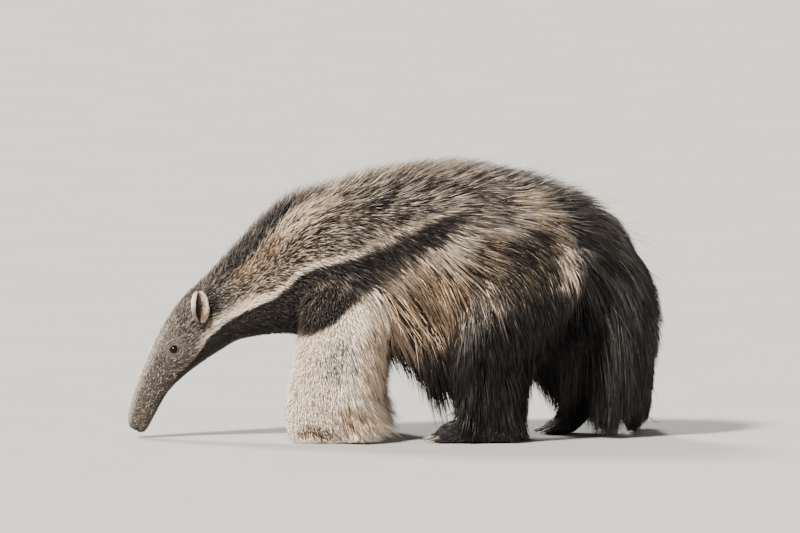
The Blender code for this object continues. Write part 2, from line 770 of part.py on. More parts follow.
def make_nostrils():
    """The two nostrils as small dents in the snout's end, to be cut."""
    dents = []
    for way in SIDES.values():
        x, y, z = NOSTRIL_PLACE
        bm = bmesh.new()
        lean = Matrix.Rotation(math.radians(NOSTRIL_LEAN), 4, "Y")
        place = Matrix.Translation((x, y * way, z)) @ lean @ Matrix.Diagonal((*NOSTRIL_HALF, 1))
        bmesh.ops.create_uvsphere(bm, u_segments=8, v_segments=5, radius=1.0, matrix=place)
        dents.append(object_from("nostril", bm))
    return dents


def make_mouth():
    """The thin slit of the mouth across the snout's end, to be cut."""
    bm = bmesh.new()
    turn = Matrix((SNOUT_WAY, Vector((0, 1, 0)), SNOUT_UP)).transposed().to_4x4()
    place = Matrix.Translation(MOUTH_PLACE) @ turn @ Matrix.Diagonal((*MOUTH_SIZE, 1))
    bmesh.ops.create_cube(bm, size=1.0, matrix=place)
    return object_from("mouth", bm)


def make_ear(side):
    """A cupped ear that opens outwards and forwards."""
    way = SIDES[side]
    bm = bmesh.new()
    bmesh.ops.create_uvsphere(bm, u_segments=12, v_segments=6, radius=1.0)
    bmesh.ops.bisect_plane(
        bm, geom=bm.verts[:] + bm.edges[:] + bm.faces[:],
        plane_co=(0, EAR_OPENING, 0), plane_no=(0, 1, 0), clear_outer=True,
    )
    for corner in bm.verts:
        corner.co.x *= 1 - EAR_NARROWS * corner.co.z
    outwards, backwards, forwards = (math.radians(turn) for turn in EAR_TURNS)
    turn = Matrix.Rotation(outwards * way, 4, "X") @ Matrix.Rotation(backwards, 4, "Y")
    swing = Matrix.Rotation(forwards * way, 4, "Z")
    size = Matrix.Diagonal((EAR_HALF[0], EAR_HALF[1] * way, EAR_HALF[2], 1))
    x, y, z = EAR_PLACE
    place = Matrix.Translation((x, y * way, z)) @ turn @ swing @ size
    bmesh.ops.transform(bm, matrix=place, verts=bm.verts)
    ear = object_from("ear_" + side, bm, "ear")
    wall = ear.modifiers.new("wall", "SOLIDIFY")
    wall.thickness = EAR_WALL
    wall.offset = 0.0
    apply_modifiers(ear)
    return ear


def make_claw(name, root, way, bend, length, wide):
    """A claw that bends as it tapers: it starts at its root and curls towards bend."""
    rings = []
    across = way.cross(bend).normalized()
    point = root.copy()
    heading = way.normalized()
    for i in range(CLAW_STEPS + 1):
        size = wide * (1 - 0.92 * (i / CLAW_STEPS) ** 1.4)
        up = across.cross(heading).normalized()
        rings.append(oval(point, up, across, size * CLAW_DEPTH, size * CLAW_DEPTH, size, sides=5))
        heading = (heading + bend * (CLAW_CURL / CLAW_STEPS)).normalized()
        point = point + heading * (length / CLAW_STEPS)
    return loft(name, rings, "claw")


def make_front_claws(side, foot):
    """Four claws folded in under the palm, the two middle ones by far the largest."""
    way = SIDES[side]
    made = {}
    for i, (length, wide) in enumerate(FRONT_CLAWS):
        x = FRONT_CLAW_START[0] + FRONT_CLAW_STEP * i + FORELEG_SHIFT[side]
        root = Vector((x, way * FRONT_CLAW_START[1], FRONT_CLAW_START[2]))
        x, y, z = FRONT_CLAW_WAY
        heading = Vector((x, -y * way, z)).normalized()
        claw = make_claw(f"foreclaw_{side}_{i + 1}", root, heading, FRONT_CLAW_BEND, length, wide)
        combine(claw, "DIFFERENCE", [grown(foot, GAP)])
        made[claw.name] = claw
    return made


def make_hind_claws(side, foot, rows):
    made = {}
    for i, (root, way) in enumerate(toe_places(rows, SIDES[side])):
        start = root + way * (TOE_LENGTH * HIND_CLAW_START[0]) + Vector((0, 0, HIND_CLAW_START[1]))
        claw = make_claw(f"hindclaw_{side}_{i + 1}", start, way, HIND_CLAW_BEND, *HIND_CLAW)
        combine(claw, "DIFFERENCE", [grown(foot, GAP)])
        made[claw.name] = claw
    return made


def surface_tree(mesh):
    """A search tree over a mesh that lies where it was built."""
    return BVHTree.FromPolygons([v.co for v in mesh.vertices], [p.vertices[:] for p in mesh.polygons])


class Ground:
    """The whole body and tail as locks find it: what they lie on and which node carries them."""

    def __init__(self, whole, nodes):
        self.lying = [surface_tree(mesh) for mesh in whole]
        self.carriers = {name: surface_tree(node.data) for name, node in nodes.items()}

    def root(self, inside, way, names):
        """Where a line from outside towards a point inside first meets one of these nodes."""
        start = inside + way * ROOT_SEARCH
        found = []
        for name in names:
            place, normal, _, distance = self.carriers[name].ray_cast(start, -way, ROOT_SEARCH)
            if place is not None:
                found.append((distance, name, place, normal))
        return min(found)[1:] if found else None

    def nearest(self, point):
        """The nearest surface, its outward direction, and how far the point lies outside it."""
        best = None
        for tree in self.lying:
            place, normal, _, height = tree.find_nearest(point)
            if height < DEEPEST and (point - place).dot(normal) < 0:
                height = -height
            if best is None or height < best[2]:
                best = (place, normal, height)
        return best


def lock_path(ground, root, normal, heading, length, rise, hang):
    """Points along a lock and its outward direction at each: it lies on the body, or hangs."""
    steps = LOCK_STEPS + (length > LONG_LOCK)
    points = [root - normal * LOCK_SINK - heading * LOCK_SINK]
    outs = [normal]
    point = root - normal * LOCK_EDGE_SINK
    for i in range(1, steps + 1):
        share = i / steps
        points.append(point)
        outs.append(outs[-1])
        heading = (heading + Vector((0, 0, -1)) * (hang * HANG_PULL / steps)).normalized()
        aim = point + heading * (length / steps)
        place, out, height = ground.nearest(aim)
        wanted = LOCK_CLEAR + rise * share
        if height < wanted:
            aim = place + out * wanted
        else:
            away = (aim - place).normalized()
            cling = CLING * (1 - hang) * max(0.0, outs[-2].dot(away))
            aim = aim.lerp(place + away * wanted, cling)
        aim.z = max(aim.z, LOWEST_TIP)
        heading = (aim - point).normalized()
        outs[-1] = outs[-1].lerp(out, FOLLOW).normalized()
        point = aim
    points.append(point)
    outs.append(outs[-1])
    return points, outs


def make_lock(path, wide):
    """A flat lock with a ridge along its outer side. It is widest past its root, then tapers."""
    points, outs = path
    last = len(points) - 1
    bm = bmesh.new()
    loops = []
    for i in range(last):
        along = (points[i + 1] - points[max(i - 1, 0)]).normalized()
        out = (outs[i] - along * outs[i].dot(along)).normalized()
        across = along.cross(out)
        share = i / last
        half = wide * (1 - share**TAPER_POWER) * (1.0 if i else ROOT_WIDTH)
        ridge = LOCK_RIDGE * (1 - (1 - RIDGE_LEFT) * share)
        corners = (points[i] - across * half, points[i] + out * ridge, points[i] + across * half)
        loops.append([bm.verts.new((c.x, c.y, max(c.z, FLOOR_CLEAR))) for c in corners])
    for near, far in zip(loops, loops[1:]):
        for i, corner in enumerate(near):
            j = (i + 1) % len(near)
            bm.faces.new((corner, near[j], far[j], far[i]))
    bm.faces.new(reversed(loops[0]))
    tip = bm.verts.new(points[last])
    for i, corner in enumerate(loops[-1]):
        bm.faces.new((corner, loops[-1][(i + 1) % 3], tip))
    bmesh.ops.triangulate(bm, faces=bm.faces)
    return object_from("lock", bm)


def grow_lock(ground, locks, chance, found, heading, length, wide, rise, hang):
    """Adds one lock to those of the node that its root stands on."""
    name, root, normal = found
    turn = Matrix.Rotation(math.radians(chance.uniform(-TURN_SPREAD, TURN_SPREAD)), 3, normal)
    heading = turn @ (heading - normal * heading.dot(normal)).normalized()
    length *= chance.uniform(*LENGTH_SPREAD)
    path = lock_path(ground, root, normal, heading, length, rise * chance.uniform(*RISE_SPREAD), hang)
    locks.setdefault(name, []).append(make_lock(path, wide * chance.uniform(*WIDTH_SPREAD)))


def spread(count, first, last, chance):
    """Places from first to last, each a little off its even step."""
    for i in range(count):
        share = (i + 0.5 + chance.uniform(-STEP_SPREAD, STEP_SPREAD)) / count
        yield share, first + (last - first) * share


def trunk_locks(ground, locks, chance):
    carriers = ("neck", "torso", "foreleg_left", "foreleg_right", "hindleg_left", "hindleg_right")
    for angle, first, last, count, length, wide, droop, droop_end, rise, hang in TRUNK_TIERS:
        for way in SIDES.values():
            for share, place in spread(count, first, last, chance):
                row = row_at(TRUNK, place)
                ahead = row_at(TRUNK, min(place + 0.3, len(TRUNK) - 1))
                along = Vector((ahead[0] - row[0], 0, ahead[1] - row[1])).normalized()
                turn = math.radians(angle + chance.uniform(-ROUND_SPREAD, ROUND_SPREAD) / 2)
                out = lean_vector(row[4]) * math.cos(turn) + Vector((0, way, 0)) * math.sin(turn)
                found = ground.root(Vector((row[0], 0, row[1])), out, carriers)
                fall = math.radians(droop + (droop_end - droop) * share)
                heading = along * math.cos(fall) + Vector((0, 0, -1)) * math.sin(fall)
                size = NECK_SIZE + (1 - NECK_SIZE) * min(share / FULL_SIZE_AT, 1.0)
                if found:
                    sizes = (length * size, wide * size, rise * size)
                    grow_lock(ground, locks, chance, found, heading, *sizes, hang)


def leg_locks(ground, locks, chance, rows, side, name, tiers, shift=0.0):
    way = SIDES[side]
    for first, last, count, turn, length, wide, rise, hang in tiers:
        for _, share in spread(count, first, last, chance):
            x, y, z = row_at(rows, share * (len(rows) - 1))[:3]
            angle = math.radians(turn + chance.uniform(-ROUND_SPREAD, ROUND_SPREAD))
            out = Vector((-math.cos(angle), way * math.sin(angle), 0))
            found = ground.root(Vector((x + shift, y * way, z)), out, (name,))
            heading = Vector((LEG_BACK, 0, -1)) + out * LEG_STAND
            if found:
                grow_lock(ground, locks, chance, found, heading, length, wide, rise, hang)


def tail_locks(ground, locks, chance):
    names = ("tail_base", "tail_middle", "tail_end")
    for turn, first, last, count, length, length_end, wide, rise, hang in TAIL_TIERS:
        for share, place in spread(count, first, last, chance):
            here, along = tail_place(place)
            across = tail_across(along)
            up = along.cross(across).normalized()
            angle = math.radians(turn + chance.uniform(-ROUND_SPREAD, ROUND_SPREAD))
            out = up * math.cos(angle) + across * math.sin(angle)
            found = ground.root(here, out, names)
            reach = length + (length_end - length) * share
            if found:
                grow_lock(ground, locks, chance, found, along + out * TAIL_STAND, reach, wide, rise, hang)


def grow_coat(whole, nodes):
    """Grows all locks and fuses each node's own with it."""
    ground = Ground(whole, nodes)
    chance = random.Random(LOCK_SEED)
    locks = {}
    trunk_locks(ground, locks, chance)
    for side in SIDES:
        shift = FORELEG_SHIFT[side]
        leg_locks(ground, locks, chance, FORELEG, side, "foreleg_" + side, FORELEG_TIERS, shift)
    leg_locks(ground, locks, chance, HINDLEG_LEFT, "left", "hindleg_left", HINDLEG_TIERS)
    leg_locks(ground, locks, chance, HINDLEG_RIGHT, "right", "hindleg_right", HINDLEG_TIERS)
    tail_locks(ground, locks, chance)
    for name, grown_locks in locks.items():
        combine(nodes[name], "UNION", grown_locks, solver="MANIFOLD")
        ease_facets(nodes[name], EASED_ANGLE)


def boxes_meet(one, other, margin=0.002):
    low = [[min(v.co[i] for v in obj.data.vertices) for i in range(3)] for obj in (one, other)]
    high = [[max(v.co[i] for v in obj.data.vertices) for i in range(3)] for obj in (one, other)]
    return all(low[0][i] - margin < high[1][i] and low[1][i] - margin < high[0][i] for i in range(3))


def clear_neighbours(nodes, bare, coated):
    """Cuts each coated node clear of the bare ones and of the coated ones before it."""
    for i, name in enumerate(coated):
        others = [nodes[other] for other in bare + coated[:i] if boxes_meet(nodes[name], nodes[other])]
        for cutters in ([grown(other) for other in others], [copy_of(other) for other in others]):
            if cutters:
                combine(nodes[name], "DIFFERENCE", cutters, solver="MANIFOLD")


def set_on_origin():
    """Moves the model so that its middle stands over the origin, on the ground."""
    corners = [obj.matrix_world @ Vector(c) for obj in ANIMAL.objects for c in obj.bound_box]
    middle = [(min(c[i] for c in corners) + max(c[i] for c in corners)) / 2 for i in (0, 1)]
    for obj in ANIMAL.objects:
        obj.data.transform(Matrix.Translation((-middle[0], -middle[1], 0)))


def main():
    body = make_whole_body()
    whole = [body.data.copy()]
    nodes = part_body(body)
    tail_nodes = part_tail(nodes["torso"])
    whole.extend(node.data.copy() for node in tail_nodes.values())
    nodes.update(tail_nodes)
    head = nodes["head"]
    combine(head, "UNION", [make_lids(side) for side in SIDES], solver="MANIFOLD")
    combine(head, "DIFFERENCE", [*make_nostrils(), make_mouth()])
    for side in SIDES:
        eye = make_eye(side)
        combine(head, "DIFFERENCE", [grown(eye, GAP)])
        ear = make_ear(side)
        combine(ear, "DIFFERENCE", [grown(head, GAP)])
        nodes[ear.name] = ear
        nodes.update(make_front_claws(side, nodes["forefoot_" + side]))
    for side, rows in (("left", HINDFOOT_LEFT), ("right", HINDFOOT_RIGHT)):
        nodes.update(make_hind_claws(side, nodes["hindfoot_" + side], rows))
    grow_coat(whole, nodes)
    coated = [name for name in COAT_ORDER if name in nodes]
    bare = [name for name in nodes if name not in coated]
    clear_neighbours(nodes, bare, coated)
    for obj in ANIMAL.objects:
        close_facets(obj)
        obj.data.shade_smooth()
        obj.data.set_sharp_from_angle(angle=math.radians(50))
    set_on_origin()


main()
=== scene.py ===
"""The looks of a life-size giant anteater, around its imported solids.

+X runs towards the tail, the left flank faces -Y and +Z is up. Sizes are in metres. One skin
stands for the flesh, and tufts of hair grow from it along the lie of the coat. The tables give
places as part.py does, before the model is set on the origin, and SHIFT moves them there.
"""

import math

import bmesh
import bpy
import numpy as np
from mathutils import Matrix, Vector
from mathutils.bvhtree import BVHTree
from mathutils.kdtree import KDTree


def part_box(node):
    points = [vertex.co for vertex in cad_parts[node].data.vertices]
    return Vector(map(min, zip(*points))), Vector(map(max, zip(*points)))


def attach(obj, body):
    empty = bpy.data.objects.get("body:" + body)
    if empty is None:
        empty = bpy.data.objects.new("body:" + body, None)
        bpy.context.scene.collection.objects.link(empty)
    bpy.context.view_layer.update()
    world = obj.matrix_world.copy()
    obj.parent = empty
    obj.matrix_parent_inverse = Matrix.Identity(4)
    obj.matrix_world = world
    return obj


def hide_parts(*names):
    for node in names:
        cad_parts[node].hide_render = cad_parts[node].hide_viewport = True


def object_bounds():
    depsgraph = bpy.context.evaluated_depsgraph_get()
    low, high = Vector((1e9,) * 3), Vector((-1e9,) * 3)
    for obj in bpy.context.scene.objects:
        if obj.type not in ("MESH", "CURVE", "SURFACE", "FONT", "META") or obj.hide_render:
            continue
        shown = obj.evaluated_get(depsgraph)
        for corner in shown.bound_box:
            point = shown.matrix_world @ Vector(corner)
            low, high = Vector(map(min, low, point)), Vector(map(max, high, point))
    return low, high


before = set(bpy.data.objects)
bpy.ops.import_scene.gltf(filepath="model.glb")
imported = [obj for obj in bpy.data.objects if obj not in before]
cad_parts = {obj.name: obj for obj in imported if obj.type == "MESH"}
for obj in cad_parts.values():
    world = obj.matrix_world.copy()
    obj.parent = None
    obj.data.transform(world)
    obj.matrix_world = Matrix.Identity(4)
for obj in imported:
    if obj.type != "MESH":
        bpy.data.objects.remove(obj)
CAD_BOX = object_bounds()

EYE_PLACE = (-0.441, 0.0340, 0.184)
SHIFT = sum(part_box("eye_left"), Vector()) / 2 - Vector((EYE_PLACE[0], -EYE_PLACE[1], EYE_PLACE[2]))
SIDES = {"left": -1, "right": 1}

# The trunk from the snout's tip to the rump. Each row is one upright section of the coat's outer
# form: x, z, half depth, half width, lean of the section towards the tail in degrees, how much
# narrower its top is, and the coat's depth on the back, on the flank and below.
TRUNK = (
    (-0.5225, 0.0160, 0.012, 0.011, -61, 0.00, 0.001, 0.001, 0.001),
    (-0.5190, 0.0260, 0.022, 0.019, -62, 0.00, 0.001, 0.001, 0.001),
    (-0.5080, 0.0550, 0.027, 0.023, -66, 0.00, 0.001, 0.001, 0.001),
    (-0.4860, 0.1060, 0.033, 0.028, -66, 0.02, 0.002, 0.002, 0.002),
    (-0.4610, 0.1450, 0.042, 0.034, -63, 0.05, 0.002, 0.002, 0.002),
    (-0.4330, 0.1810, 0.054, 0.042, -61, 0.08, 0.003, 0.003, 0.003),
    (-0.4020, 0.2140, 0.065, 0.049, -59, 0.10, 0.004, 0.004, 0.004),
    (-0.3690, 0.2450, 0.074, 0.054, -54, 0.10, 0.006, 0.005, 0.006),
    (-0.3330, 0.2670, 0.085, 0.058, -47, 0.10, 0.010, 0.006, 0.008),
    (-0.2960, 0.2910, 0.099, 0.064, -38, 0.12, 0.018, 0.010, 0.010),
    (-0.2560, 0.3170, 0.119, 0.074, -28, 0.14, 0.028, 0.014, 0.012),
    (-0.2170, 0.3400, 0.142, 0.089, -19, 0.18, 0.036, 0.018, 0.014),
    (-0.1690, 0.3580, 0.165, 0.106, -12, 0.22, 0.042, 0.020, 0.018),
    (-0.1180, 0.3620, 0.176, 0.119, -8, 0.24, 0.042, 0.022, 0.022),
    (-0.0460, 0.3700, 0.187, 0.131, -5, 0.24, 0.040, 0.026, 0.030),
    (0.0340, 0.3810, 0.192, 0.140, -1, 0.22, 0.040, 0.030, 0.034),
    (0.1180, 0.3870, 0.191, 0.144, 2, 0.20, 0.040, 0.034, 0.036),
    (0.2000, 0.3820, 0.184, 0.142, 5, 0.16, 0.040, 0.036, 0.036),
    (0.2790, 0.3760, 0.171, 0.134, 10, 0.12, 0.040, 0.036, 0.036),
    (0.3430, 0.3680, 0.150, 0.118, 14, 0.08, 0.040, 0.036, 0.036),
    (0.3880, 0.3620, 0.118, 0.096, 17, 0.04, 0.036, 0.034, 0.034),
    (0.4150, 0.3560, 0.078, 0.064, 18, 0.00, 0.030, 0.030, 0.030),
    (0.4290, 0.3520, 0.035, 0.030, 18, 0.00, 0.022, 0.022, 0.022),
)
# Legs from the top down. Each row is x, y on the right side, z, half length from front to back,
# half width, and the coat's depth in front, behind and beside.
FORELEG = (
    (-0.085, 0.058, 0.345, 0.080, 0.042, 0.020, 0.020, 0.010),
    (-0.088, 0.080, 0.300, 0.094, 0.052, 0.016, 0.020, 0.012),
    (-0.090, 0.096, 0.245, 0.100, 0.060, 0.012, 0.030, 0.014),
    (-0.090, 0.104, 0.185, 0.108, 0.062, 0.012, 0.055, 0.016),
    (-0.095, 0.110, 0.130, 0.116, 0.062, 0.012, 0.075, 0.016),
    (-0.104, 0.112, 0.085, 0.114, 0.060, 0.012, 0.070, 0.014),
    (-0.122, 0.112, 0.045, 0.094, 0.056, 0.010, 0.045, 0.010),
    (-0.130, 0.112, 0.015, 0.078, 0.048, 0.004, 0.020, 0.004),
    (-0.130, 0.112, -0.012, 0.062, 0.038, 0.000, 0.000, 0.000),
)
FORELEG_SHIFT = {"left": 0.0, "right": 0.014}
WRIST_PAD = ((-0.078, 0.112, 0.036), (0.036, 0.036, 0.036))
HINDLEG = {
    "left": (
        (0.300, 0.070, 0.400, 0.105, 0.045, 0.020, 0.020, 0.010),
        (0.285, 0.092, 0.345, 0.118, 0.058, 0.030, 0.030, 0.016),
        (0.245, 0.106, 0.280, 0.128, 0.068, 0.050, 0.030, 0.020),
        (0.205, 0.112, 0.220, 0.122, 0.070, 0.065, 0.040, 0.022),
        (0.190, 0.112, 0.165, 0.112, 0.066, 0.070, 0.045, 0.022),
        (0.192, 0.111, 0.115, 0.104, 0.060, 0.065, 0.045, 0.020),
        (0.196, 0.110, 0.075, 0.094, 0.054, 0.055, 0.040, 0.018),
        (0.204, 0.109, 0.035, 0.070, 0.044, 0.030, 0.030, 0.010),
        (0.206, 0.108, 0.012, 0.050, 0.034, 0.020, 0.020, 0.006),
    ),
    "right": (
        (0.310, 0.070, 0.400, 0.105, 0.045, 0.020, 0.020, 0.010),
        (0.312, 0.092, 0.345, 0.115, 0.058, 0.020, 0.020, 0.016),
        (0.314, 0.106, 0.280, 0.112, 0.066, 0.030, 0.030, 0.020),
        (0.322, 0.112, 0.220, 0.098, 0.064, 0.030, 0.035, 0.020),
        (0.340, 0.113, 0.170, 0.084, 0.058, 0.030, 0.035, 0.020),
        (0.362, 0.112, 0.130, 0.068, 0.050, 0.025, 0.030, 0.016),
        (0.386, 0.111, 0.100, 0.052, 0.042, 0.020, 0.025, 0.012),
        (0.398, 0.111, 0.080, 0.036, 0.034, 0.012, 0.014, 0.008),
    ),
}
# Hind feet from the heel to the toes: x, z, half height, half width.
HINDFOOT = {
    "left": (
        (0.252, 0.026, 0.014, 0.016),
        (0.242, 0.024, 0.028, 0.030),
        (0.205, 0.024, 0.034, 0.036),
        (0.160, 0.020, 0.028, 0.040),
        (0.120, 0.014, 0.022, 0.042),
        (0.102, 0.012, 0.016, 0.036),
    ),
    "right": (
        (0.424, 0.112, 0.012, 0.014),
        (0.416, 0.102, 0.024, 0.028),
        (0.398, 0.072, 0.030, 0.034),
        (0.376, 0.038, 0.026, 0.038),
        (0.350, 0.014, 0.021, 0.042),
        (0.326, 0.010, 0.015, 0.037),
    ),
}
HINDFOOT_Y = 0.109
TOE_COUNT = 5
TOE_HALF_WIDTH = 0.0085
TOE_HALF_HEIGHT = 0.011
TOE_LENGTH = 0.022
TOE_Z = 0.010
TOE_START = 0.016
TOE_ARC = 0.014
TOE_FAN = 0.25
# The front claws from the first to the fourth: length and half thickness.
FRONT_CLAWS = ((0.034, 0.0050), (0.060, 0.0070), (0.066, 0.0080), (0.036, 0.0050))
FRONT_CLAW_START = (-0.186, 0.078, 0.022)
FRONT_CLAW_STEP = 0.022
FRONT_CLAW_WAY = (0.5, 0.8, -0.1)
FRONT_CLAW_BEND = Vector((0.9, 0, -0.05))
HIND_CLAW = (0.026, 0.0042)
HIND_CLAW_BEND = Vector((0, 0, -0.55))
HIND_CLAW_START = (0.75, 0.003)
# A claw's taper and how late it comes, its height over and under the middle, and its curl.
CLAW_TAPER = 0.95
CLAW_SWEEP = 1.4
CLAW_RIDGE = 1.25
CLAW_SOLE = 0.95
CLAW_CURL = 0.9
# The tail: x, y, z, half width and half depth of the coat's outer form, and the coat's depth.
TAIL = (
    (0.345, 0.000, 0.425, 0.060, 0.066, 0.010),
    (0.395, 0.000, 0.405, 0.064, 0.070, 0.016),
    (0.440, 0.000, 0.355, 0.066, 0.074, 0.026),
    (0.470, 0.000, 0.295, 0.066, 0.078, 0.034),
    (0.486, 0.002, 0.230, 0.062, 0.072, 0.034),
    (0.494, 0.012, 0.165, 0.058, 0.066, 0.032),
    (0.500, 0.045, 0.110, 0.054, 0.058, 0.030),
    (0.505, 0.100, 0.076, 0.048, 0.052, 0.028),
    (0.508, 0.156, 0.064, 0.038, 0.042, 0.024),
    (0.508, 0.212, 0.054, 0.016, 0.020, 0.010),
)

# The hair on the trunk by the trunk's rows: row, length on the back, on the flank, low on the
# flank and on the belly, and how steeply it falls on the flank and low on it, in degrees.
TRUNK_HAIR = (
    (0.0, 0.005, 0.005, 0.005, 0.005, 0, 0),
    (5.0, 0.010, 0.009, 0.010, 0.010, 0, 4),
    (8.0, 0.017, 0.014, 0.017, 0.018, 0, 8),
    (9.5, 0.036, 0.019, 0.021, 0.022, 5, 14),
    (11.0, 0.055, 0.024, 0.028, 0.030, 14, 26),
    (12.8, 0.070, 0.036, 0.050, 0.060, 26, 44),
    (13.6, 0.076, 0.044, 0.150, 0.110, 38, 54),
    (14.2, 0.080, 0.054, 0.240, 0.170, 44, 56),
    (15.0, 0.082, 0.066, 0.270, 0.190, 42, 59),
    (16.0, 0.085, 0.080, 0.255, 0.190, 28, 60),
    (17.0, 0.088, 0.095, 0.225, 0.150, 18, 58),
    (18.0, 0.094, 0.110, 0.205, 0.130, 20, 58),
    (19.0, 0.100, 0.130, 0.200, 0.120, 38, 66),
    (20.5, 0.112, 0.180, 0.300, 0.180, 62, 80),
    (22.0, 0.120, 0.230, 0.340, 0.220, 78, 88),
)
# The angles from the top, in degrees, at which those four lengths hold.
HAIR_ANGLES = (12, 75, 118, 160)
BELLY_FALL = 60
# How freely the hair hangs low on the flank and on the flank, by the trunk's rows.
HANG_LOW = ((12.0, 0.0), (13.6, 0.5), (15.0, 0.75), (22.0, 0.9))
HANG_FLANK = ((14.0, 0.0), (18.5, 0.1), (20.0, 0.4), (22.0, 0.75))
# Tufts to the square centimetre and half width of a tuft, by the trunk's rows.
TRUNK_TUFTS = (
    (0.0, 22.0, 0.0006),
    (6.0, 15.0, 0.0008),
    (8.0, 14.0, 0.0009),
    (9.5, 19.0, 0.0010),
    (11.0, 16.0, 0.0011),
    (12.0, 14.0, 0.0012),
    (22.0, 11.0, 0.0014),
)
# How many of these tufts there are low on the flank, and how much wider they are there.
LOW_FEWER = 0.46
LOW_WIDER = 1.30
# The same two values as in TRUNK_TUFTS, for the limbs.
LIMB_TUFTS = {
    "foreleg": (10.0, 0.0011),
    "hindleg": (4.6, 0.0018),
    "hindfoot": (14.0, 0.0010),
    "tail": (9.4, 0.0015),
}
# The length of the hair on the hind feet.
FOOT_HAIR = 0.010
# How far a tuft stands up from the coat's lie, where nothing else lifts it.
LIFT = 0.10
# Hair round the eyes is shorter and sparser, and round the ears' feet longer: from how far off to
# how near this comes in, and by how much.
EYE_HAIR_EDGE = (0.028, 0.014)
EYE_SHORTER = 0.45
EYE_FEWER = 0.30
EAR_HAIR_EDGE = (0.052, 0.030)
EAR_FOOT = 0.010
EAR_LONGER = 0.007
EAR_DEEPER = 0.002

EAR_PLACE = (-0.3875, 0.055, 0.272)
EAR_HALF = (0.0156, 0.0122, 0.0322)
EAR_TURNS = (18, -6, 14)
EAR_THICK = 0.0030
# How wide the ear is by its height, and the turn of its front and rear edges, in degrees from
# the deepest fold.
EAR_LEAF = (
    (0.00, 0.34), (0.10, 0.66), (0.24, 0.90), (0.45, 1.00),
    (0.70, 0.92), (0.86, 0.68), (0.96, 0.36), (1.00, 0.10),
)
EAR_FRONT = ((0.00, -138), (0.35, -150), (0.80, -166), (1.00, -166))
EAR_REAR = ((0.00, 76), (0.50, 96), (1.00, 104))

RING_SIDES = 32
VOXEL = 0.005
SKIN_EASE = 5
SOLE = 0.0005
# How softly one form's coat passes into the next one's.
FORM_BLEND = 0.10
ROWS_BETWEEN = 6
HAIR_SEED = 7
# How far a root lies under the skin and its tuft at least over it, how low a tuft comes, and how
# far it reaches past the solids' box.
CLEAR = 0.0008
LOWEST = 0.004
REACH = 0.008
# How much tufts vary in length, depth and heading, and how strongly they swirl, fall and cling.
LENGTH_RANGE = (0.72, 1.18)
DEPTH_RANGE = (0.45, 1.0)
HEADING_SPREAD = 0.07
SWIRL = 0.16
FALL_PULL = 1.5
CLING = 0.55
CLING_HEIGHT = 0.06
# Tufts to a lock, and how far apart their tips may be to be drawn together.
LOCK_TUFTS = 9
LOCK_REACH = 0.09
# What grows with a tuft's length: the length that gives 1, and the least and the most. These are
# the pull to its lock, how far it takes the lock's tone, and how rough it looks.
LOCK_PULL = (0.16, 0.05, 0.62)
LOCK_TONE = (0.14, 0.08, 0.50)
HAIR_ROUGH = (0.040, 0.30, 1)
WIDTH_RANGE = (0.70, 1.25)
# A tuft's taper, its width at the root and the height of its ridge, as shares of its half width.
TAPER = 1.8
ROOT_WIDE = 0.7
RIDGE = 0.55
# The size of a tuft's place on the unwrap.
PATCH = 0.003
DOWN = np.array((0.0, 0.0, -1.0))
BACK = np.array((1.0, 0.0, 0.0))


def smooth_rows(rows, between=ROWS_BETWEEN):
    """The rows of a size table with more rows between them, on a Catmull-Rom curve."""
    table = np.array(rows, float)
    last = len(table) - 1
    made = []
    for i in range(last):
        p, q = table[max(i - 1, 0)], table[i]
        r, s = table[i + 1], table[min(i + 2, last)]
        for t in np.arange(between) / between:
            square, cube = 2 * p - 5 * q + 4 * r - s, 3 * (q - r) + s - p
            made.append(0.5 * (2 * q + (r - p) * t + square * t**2 + cube * t**3))
    made.append(table[-1])
    return np.array(made)


def unit(rows):
    """Each row of an array at length one."""
    return rows / np.maximum(np.linalg.norm(rows, axis=-1, keepdims=True), 1e-9)


def dot(one, other):
    return (one * other).sum(-1, keepdims=True)


def ring_edges(ring):
    return list({edge for corner in ring for edge in corner.link_edges})


def bridge_rings(bm, rings):
    """Joins rings of edges into one closed skin."""
    for near, far in zip(rings, rings[1:]):
        bmesh.ops.bridge_loops(bm, edges=near + far)
    for end in (rings[0], rings[-1]):
        bmesh.ops.contextual_create(bm, geom=end)


